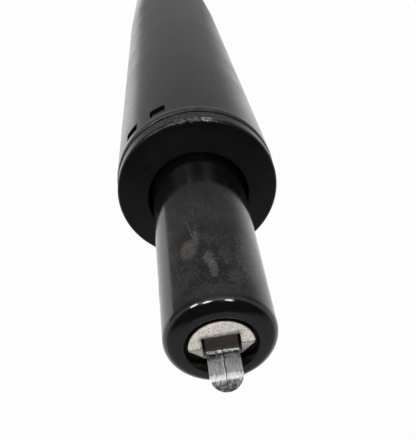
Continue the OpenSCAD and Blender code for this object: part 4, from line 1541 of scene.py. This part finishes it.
@dataclass
class LeverBlock:
    """Casting in the rim, with the slope and the notch that the lever works in. Sizes in millimetres."""

    bore_r: float = 2.05
    foot_r: float = 10.80
    shoulder_r: float = 10.486
    boss_r: float = 7.2
    foot_z: float = 292.3
    shoulder_z: float = 304.8
    face_z: float = 307.0
    boss_edge: float = 0.4
    slope_y: float = -0.45
    slope_angle: float = 25.0
    flank_r: float = 6.287
    flank_angle: float = 25.5
    notch_half: float = 4.2
    notch_y0: float = -3.4
    notch_y1: float = 5.03
    notch_floor_z: float = 298.66
    notch_chamfer: float = 0.45
    pivot_y: float = -4.6
    pivot_z: float = 302.4
    pocket_r: float = 2.5
    pivot_hole_r: float = 1.27
    broken_edge: float = 0.12
    spare: float = 1.0

    def section(self) -> list[Corner]:
        """Section of the block as turned, before it is cut.

        Returns:
            Its corners in order.
        """
        return [
            Corner(self.bore_r, self.foot_z),
            Corner(self.foot_r, self.foot_z, SOFT_EDGE),
            Corner(self.shoulder_r, self.shoulder_z),
            Corner(self.boss_r, self.shoulder_z),
            Corner(self.boss_r, self.face_z, self.boss_edge),
            Corner(self.bore_r, self.face_z),
        ]

    def cutters(self) -> list[Workpiece]:
        """Makes the cutters of the block.

        Returns:
            Those of the slope, the notch, its chamfer, the lever's pocket, the pivot's hole and the flanks.
        """
        far = 2 * self.foot_r
        half = self.notch_half
        slope = Workpiece.bar("slope_cutter", (-far, 0.0, 0.0), (far, far, far))
        slope.settle(turn=(-self.slope_angle, 0, 0), at=(0.0, self.slope_y, self.face_z))
        notch = Workpiece.bar(
            "notch_cutter", (-half, self.notch_y0, self.notch_floor_z),
            (half, self.notch_y1, self.face_z + self.spare)
        )
        chamfer = Workpiece.bar(
            "chamfer_cutter", (-half, self.notch_y0, self.face_z - self.notch_chamfer),
            (half, self.notch_y1, self.face_z + self.notch_chamfer)
        )
        with chamfer.opened():
            chamfer.choose(Pick.FACES, lambda face: face.normal.z > 0.5)
            bpy.ops.transform.resize(value=(1 + 2 * self.notch_chamfer / half, 1, 1))
        pocket = Workpiece.rod("pocket_cutter", self.pocket_r, 2 * half)
        hole = Workpiece.rod("pivot_hole_cutter", self.pivot_hole_r, 2 * far, 64)
        for rod in (pocket, hole):
            rod.settle(turn=(0, 90, 0), at=(0.0, self.pivot_y, self.pivot_z))
        flanks = [self.flank_cutter(turn) for turn in (180.0 - self.flank_angle, self.flank_angle)]
        return [slope, notch, chamfer, pocket, hole, *flanks]

    def flank_cutter(self, turn: float) -> Workpiece:
        """A bar that cuts the boss flat beside the slope.

        Args:
            turn: Direction of the flank in degrees.

        Returns:
            The cutter.
        """
        far = 2 * self.boss_r
        high = (far, far, self.face_z + self.spare)
        flank = Workpiece.bar("flank_cutter", (self.flank_r, -far, self.shoulder_z), high)
        flank.settle(turn=(0, 0, turn))
        return flank

    def build(self) -> None:
        """Models and dresses the block."""
        block = Workpiece.turned("cast_lever_block", self.section(), 160)
        block.cut(*self.cutters())
        block.break_edges(self.broken_edge)
        block.fit("gas_cylinder", "lever_block", "block_casting", DieCast().make())


@dataclass
class ReleaseLever:
    """Lever with its knuckle, its foot and its bent tip, marked down the middle. Sizes in millimetres."""

    half_w: float = 3.5
    spare_w: float = 0.5
    groove_half: float = 0.22
    groove_depth: float = 0.14
    pivot_y: float = -4.6
    pivot_z: float = 302.4
    knuckle_r: float = 2.1
    hole_r: float = 1.30
    foot_under: float = 1.1
    heel_y: float = -2.7
    heel_z: float = 304.2
    foot_top_z: float = 306.4
    knee_y: float = 0.7
    knee_r: float = 0.5
    bend_y: float = 4.7
    bend_z: float = 313.1
    bend_out_r: float = 3.5
    bend_in_r: float = 1.2
    bend: float = 45.0
    tip_straight: float = 0.851
    tab_back_y: float = 3.5
    toe_z: float = 303.1
    foot_toe_y: float = 1.6
    foot_bottom_z: float = 301.3
    broken_edge: float = 0.28
    cutter_len: float = 80.0
    cutter_back: float = 30.0

    def outline(self) -> list[tuple[float, float]]:
        """Side view of the lever, from the knuckle over the foot and the tab to the tip.

        Returns:
            Its corners (y, z) in order.
        """
        lean = math.radians(self.bend)
        along = (self.tip_straight * math.sin(lean), self.tip_straight * math.cos(lean))
        knuckle_from = -math.degrees(math.asin(self.foot_under / self.knuckle_r))
        knuckle_to = math.degrees(math.asin((self.heel_z - self.pivot_z) / self.knuckle_r)) - 360.0
        tip = [
            (self.bend_y - r * math.cos(lean) + along[0], self.bend_z + r * math.sin(lean) + along[1])
            for r in (self.bend_out_r, self.bend_in_r)
        ]
        return [
            *arc(self.pivot_y, self.pivot_z, self.knuckle_r, knuckle_from, knuckle_to, 40),
            (self.heel_y, self.heel_z),
            (self.heel_y, self.foot_top_z),
            *arc(self.knee_y, self.foot_top_z + self.knee_r, self.knee_r, 270.0, 360.0, 8),
            *arc(self.bend_y, self.bend_z, self.bend_out_r, 180.0, 180.0 - self.bend, 14),
            *tip,
            *arc(self.bend_y, self.bend_z, self.bend_in_r, 180.0 - self.bend, 180.0, 14),
            (self.tab_back_y, self.toe_z),
            (self.foot_toe_y, self.foot_bottom_z),
        ]

    def width_cutter(self) -> Workpiece:
        """A long bar with a round end, as wide as the lever, square to its tip.

        Returns:
            The cutter.
        """
        lean = math.radians(self.bend)
        back = self.tip_straight - self.half_w
        cutter = Workpiece.rod("width_cutter", self.half_w, self.cutter_len, 128)
        with cutter.opened():
            cutter.choose(Pick.CORNERS, lambda corner: corner.co.y < -TOUCH)
            bpy.ops.transform.translate(value=(0, -self.cutter_back * MM, 0))
        at = (0.0, self.bend_y + back * math.sin(lean), self.bend_z + back * math.cos(lean))
        cutter.settle(turn=(self.bend, 0, 0), at=at)
        return cutter

    def build(self) -> None:
        """Models and dresses the lever."""
        side = self.half_w + self.spare_w
        stations = [-side, -self.groove_half, 0.0, self.groove_half, side]
        lever = Workpiece.plate("bent_release_lever", self.outline(), stations)
        with lever.opened():
            lever.choose(Pick.CORNERS, lambda corner: abs(corner.co.x) < TOUCH)
            bpy.ops.transform.shrink_fatten(value=-self.groove_depth * MM)
        lever.cut(self.width_cutter(), leave=Cut.KEEP)
        hole = Workpiece.rod("lever_hole_cutter", self.hole_r, 4 * self.half_w, 64)
        hole.settle(turn=(0, 90, 0), at=(0.0, self.pivot_y, self.pivot_z))
        lever.cut(hole)
        lever.break_edges(self.broken_edge)
        lever.fit("release_lever", "release_lever", "lever_zinc", ZincPlate().make())


@dataclass
class InnerWorks:
    """Pieces inside the column and the tube, which keep their CAD shapes and get their finishes by slot."""

    def finishes(self) -> dict[str, Material]:
        """Builds the finishes of the inner pieces and finds those of the modelled ones.

        Returns:
            The finishes by slot.
        """
        inner = {
            "plated_steel": PlainMetal("zinc_plated_steel", (0.45, 0.46, 0.47), 0.34, Grain.TURNED),
            "spring_steel": PlainMetal(
                "phosphated_spring_steel", (0.16, 0.165, 0.17), 0.46, Grain.PRESSED, metallic=0.8
            ),
            "bearing_steel": PlainMetal(
                "ground_bearing_steel", (0.60, 0.61, 0.63), 0.16, Grain.GROUND, stain=0.12
            ),
            "cage_brass": PlainMetal("pressed_brass", (0.62, 0.45, 0.18), 0.30, Grain.PRESSED),
            "rod_chrome": PlainMetal("hard_chrome", (0.66, 0.67, 0.69), 0.09, Grain.GROUND, stain=0.08),
            "inner_steel": PlainMetal("drawn_bright_steel", (0.42, 0.43, 0.45), 0.28, Grain.DRAWN),
            "valve_alloy": PlainMetal("machined_alloy", (0.60, 0.57, 0.49), 0.32, Grain.TURNED),
            "guide_polymer": SoftStuff("natural_polymer", (0.62, 0.58, 0.49), (0.50, 0.46, 0.38), 0.45),
            "seal_rubber": SoftStuff(
                "black_seal_rubber", (0.013, 0.013, 0.014), (0.035, 0.034, 0.033), 0.62
            ),
        }
        modelled = {
            "column_paint": SatinPaint, "bush_plastic": MouldedPlastic, "tube_paint": GlossPaint,
            "block_casting": DieCast, "lever_zinc": ZincPlate,
        }
        made = {slot: finish.make() for slot, finish in inner.items()}
        return {**made, **{slot: bpy.data.materials[finish.name] for slot, finish in modelled.items()}}

    def build(self) -> None:
        """Dresses every CAD node, those too that a modelled piece stands for."""
        materials = self.finishes()
        for subpart in frame["record"]["subparts"]:
            node = frame["nodes"][subpart["node"]]
            node.data.materials.clear()
            node.data.materials.append(materials[subpart["material_slot"]])
            log.info("%s: %s", subpart["node"], subpart["material_slot"])


@dataclass
class Stage:
    """Pale floor, the grey card that the glossy pieces mirror, the sky and the lamps. Sizes in metres."""

    floor_half: float = 8.0
    floor_z: float = -0.0002
    floor_colour: tuple[float, ...] = (0.80, 0.80, 0.80, 1.0)
    floor_glow: float = 0.97
    card_z: float = 0.001
    card_grey: Colour = (0.27, 0.27, 0.275)
    card_white: Colour = (0.97, 0.97, 0.97)
    card_outline: tuple[tuple[float, float], ...] = (
        (0.0, -0.020), (0.30, 0.010), (1.6, 0.12), (1.6, -2.4), (-1.6, -2.4), (-1.6, 1.3), (-0.20, 0.15)
    )
    card_fade: tuple[float, float] = (62.0, 125.0)
    horizon: float = 0.85
    upper_sky: float = 0.04
    upper_sky_from: float = 0.36
    back_sky: float = 0.42
    back_from: tuple[float, float] = (-0.05, 0.40)
    overhead: tuple[float, float] = (0.80, 0.95)
    key_watts: float = 12.5
    key_size: tuple[float, float] = (0.9, 0.9)
    key_from: Spot = (0.15, -0.50, 1.15)
    lamp_watts: float = 0.85
    lamp_size: tuple[float, float] = (0.11, 0.09)
    lamps_at: tuple[Spot, ...] = ((0.305, -0.403, 0.383), (0.119, -0.470, 0.468), (-0.198, -0.428, 0.501))
    strip_watts: float = 0.45
    strip_size: tuple[float, float] = (0.70, 0.05)
    strip_at: Spot = (0.03, -0.50, 0.44)
    aim: Spot = (0.0, 0.0, 0.28)

    def floor(self) -> None:
        """A wide pale floor, white to the camera and to glossy pieces, that keeps the shadow."""
        bpy.ops.object.select_all(action="DESELECT")
        bpy.ops.mesh.primitive_plane_add(size=2 * self.floor_half, location=(0, 0, self.floor_z))
        floor = bpy.context.object
        floor.name = "studio_floor"
        material = bpy.data.materials.new("pale_floor")
        nodes = Nodes(emptied(material))
        ray = nodes.put("ShaderNodeLightPath").outputs
        seen = nodes.most(*(ray[f"Is {kind} Ray"] for kind in ("Camera", "Glossy", "Transmission")))
        matt = nodes.put("ShaderNodeBsdfDiffuse", {"Color": self.floor_colour}).outputs[0]
        white = nodes.put("ShaderNodeEmission", {"Color": WHITE, "Strength": 1.0}).outputs[0]
        both = nodes.put("ShaderNodeMixShader", {0: nodes.times(seen, self.floor_glow), 1: matt, 2: white})
        nodes.put("ShaderNodeOutputMaterial", {"Surface": both.outputs[0]})
        floor.data.materials.append(material)

    def card(self) -> None:
        """A grey card on the floor before the column, fading to white on -X, seen only in glossy pieces."""
        card = Workpiece.drawn("grey_card", [Vector((x, y, self.card_z)) for x, y in self.card_outline])
        with card.opened():
            bpy.ops.mesh.select_all(action="SELECT")
            bpy.ops.mesh.edge_face_add()
        material = bpy.data.materials.new("grey_card")
        nodes = Nodes(emptied(material))
        x, y, _ = nodes.parts(nodes.put("ShaderNodeTexCoord").outputs["Object"])
        bearing = nodes.calc("ARCTAN2", nodes.times(x, -1.0), nodes.times(y, -1.0))
        fade = nodes.ramp(bearing, *(math.radians(angle) for angle in self.card_fade))
        colour = nodes.tint(fade, self.card_grey, self.card_white)
        grey = nodes.put("ShaderNodeEmission", {"Color": colour, "Strength": 1.0})
        nodes.put("ShaderNodeOutputMaterial", {"Surface": grey.outputs[0]})
        card.obj.data.materials.append(material)
        for ray in ("camera", "diffuse", "transmission", "volume_scatter", "shadow"):
            setattr(card.obj, "visible_" + ray, False)

    def sky(self) -> None:
        """A soft surround, white to the camera: pale near the floor, grey behind, dark overhead."""
        world = bpy.data.worlds.new("soft_surround")
        nodes = Nodes(emptied(world))
        way = nodes.parts(nodes.put("ShaderNodeTexCoord").outputs["Generated"])
        before = nodes.ramp(way["Z"], 0.0, self.upper_sky_from, self.horizon, self.upper_sky)
        behind = nodes.times(
            nodes.ramp(way["Y"], *self.back_from, 0.0, self.back_sky),
            nodes.ramp(way["Z"], *self.overhead, 1.0, 0.0)
        )
        level = nodes.most(before, behind, nodes.put("ShaderNodeLightPath").outputs["Is Camera Ray"])
        light = nodes.put("ShaderNodeBackground", {"Color": WHITE, "Strength": level})
        nodes.put("ShaderNodeOutputWorld", {"Surface": light.outputs[0]})
        bpy.context.scene.world = world

    def lamp(self, name: str, at: Spot, size: tuple[float, float], watts: float, misses: str) -> None:
        """A soft lamp turned to the top of the gas lift.

        Args:
            name: Name of the lamp.
            at: Its place.
            size: Its width and height.
            watts: Its power.
            misses: Kind of surface that it leaves alone, glossy or diffuse.
        """
        bpy.ops.object.select_all(action="DESELECT")
        bpy.ops.object.light_add(type="AREA", location=at)
        lamp = bpy.context.object
        lamp.name = name
        lamp.data.shape = "RECTANGLE"
        lamp.data.size, lamp.data.size_y = size
        lamp.data.energy = watts
        lamp.visible_camera = False
        setattr(lamp, "visible_" + misses, False)
        lamp.rotation_euler = (Vector(self.aim) - Vector(at)).to_track_quat("-Z", "Y").to_euler()

    def build(self) -> None:
        """Sets up the stage."""
        self.floor()
        self.card()
        self.sky()
        self.lamp("key_lamp", self.key_from, self.key_size, self.key_watts, "glossy")
        for i, at in enumerate(self.lamps_at):
            self.lamp(f"low_lamp_{i + 1}", at, self.lamp_size, self.lamp_watts, "diffuse")
        self.lamp("low_strip", self.strip_at, self.strip_size, self.strip_watts, "diffuse")
        bpy.context.scene.view_settings.view_transform = "Standard"


@dataclass
class Viewpoint:
    """Camera at the photograph's place, looking down along the tube. Place in millimetres."""

    place: Spot = (0.0, -84.16, 382.51)
    right: Spot = (-0.98811, 0.12081, 0.09513)
    up: Spot = (-0.15341, -0.81661, -0.55643)
    forward: Spot = (-0.01046, 0.56441, -0.82543)
    lens: float = 42.9
    sensor: float = 36.0
    nearest_m: float = 0.005
    farthest_m: float = 50.0

    def build(self) -> None:
        """Sets up the camera."""
        bpy.ops.object.select_all(action="DESELECT")
        bpy.ops.object.camera_add()
        camera = bpy.context.object
        camera.name = "photo_camera"
        turn = Matrix((self.right, self.up, -Vector(self.forward))).transposed().to_4x4()
        camera.matrix_world = Matrix.Translation(Vector(self.place) * MM) @ turn
        camera.data.lens = self.lens
        camera.data.sensor_width = self.sensor
        camera.data.clip_start = self.nearest_m
        camera.data.clip_end = self.farthest_m
        bpy.context.scene.camera = camera


def main() -> None:
    """Builds the pieces, the stage and the camera in order."""
    logging.basicConfig(level=logging.INFO, format="%(name)s %(message)s")
    Viewpoint().build()
    pieces = (OuterColumn(), GuideBush(), PressureTube(), LeverBlock(), ReleaseLever())
    for assembly in (*pieces, InnerWorks(), Stage()):
        assembly.build()
        log.info("%s done", type(assembly).__name__)


if __name__ == "__main__":
    main()
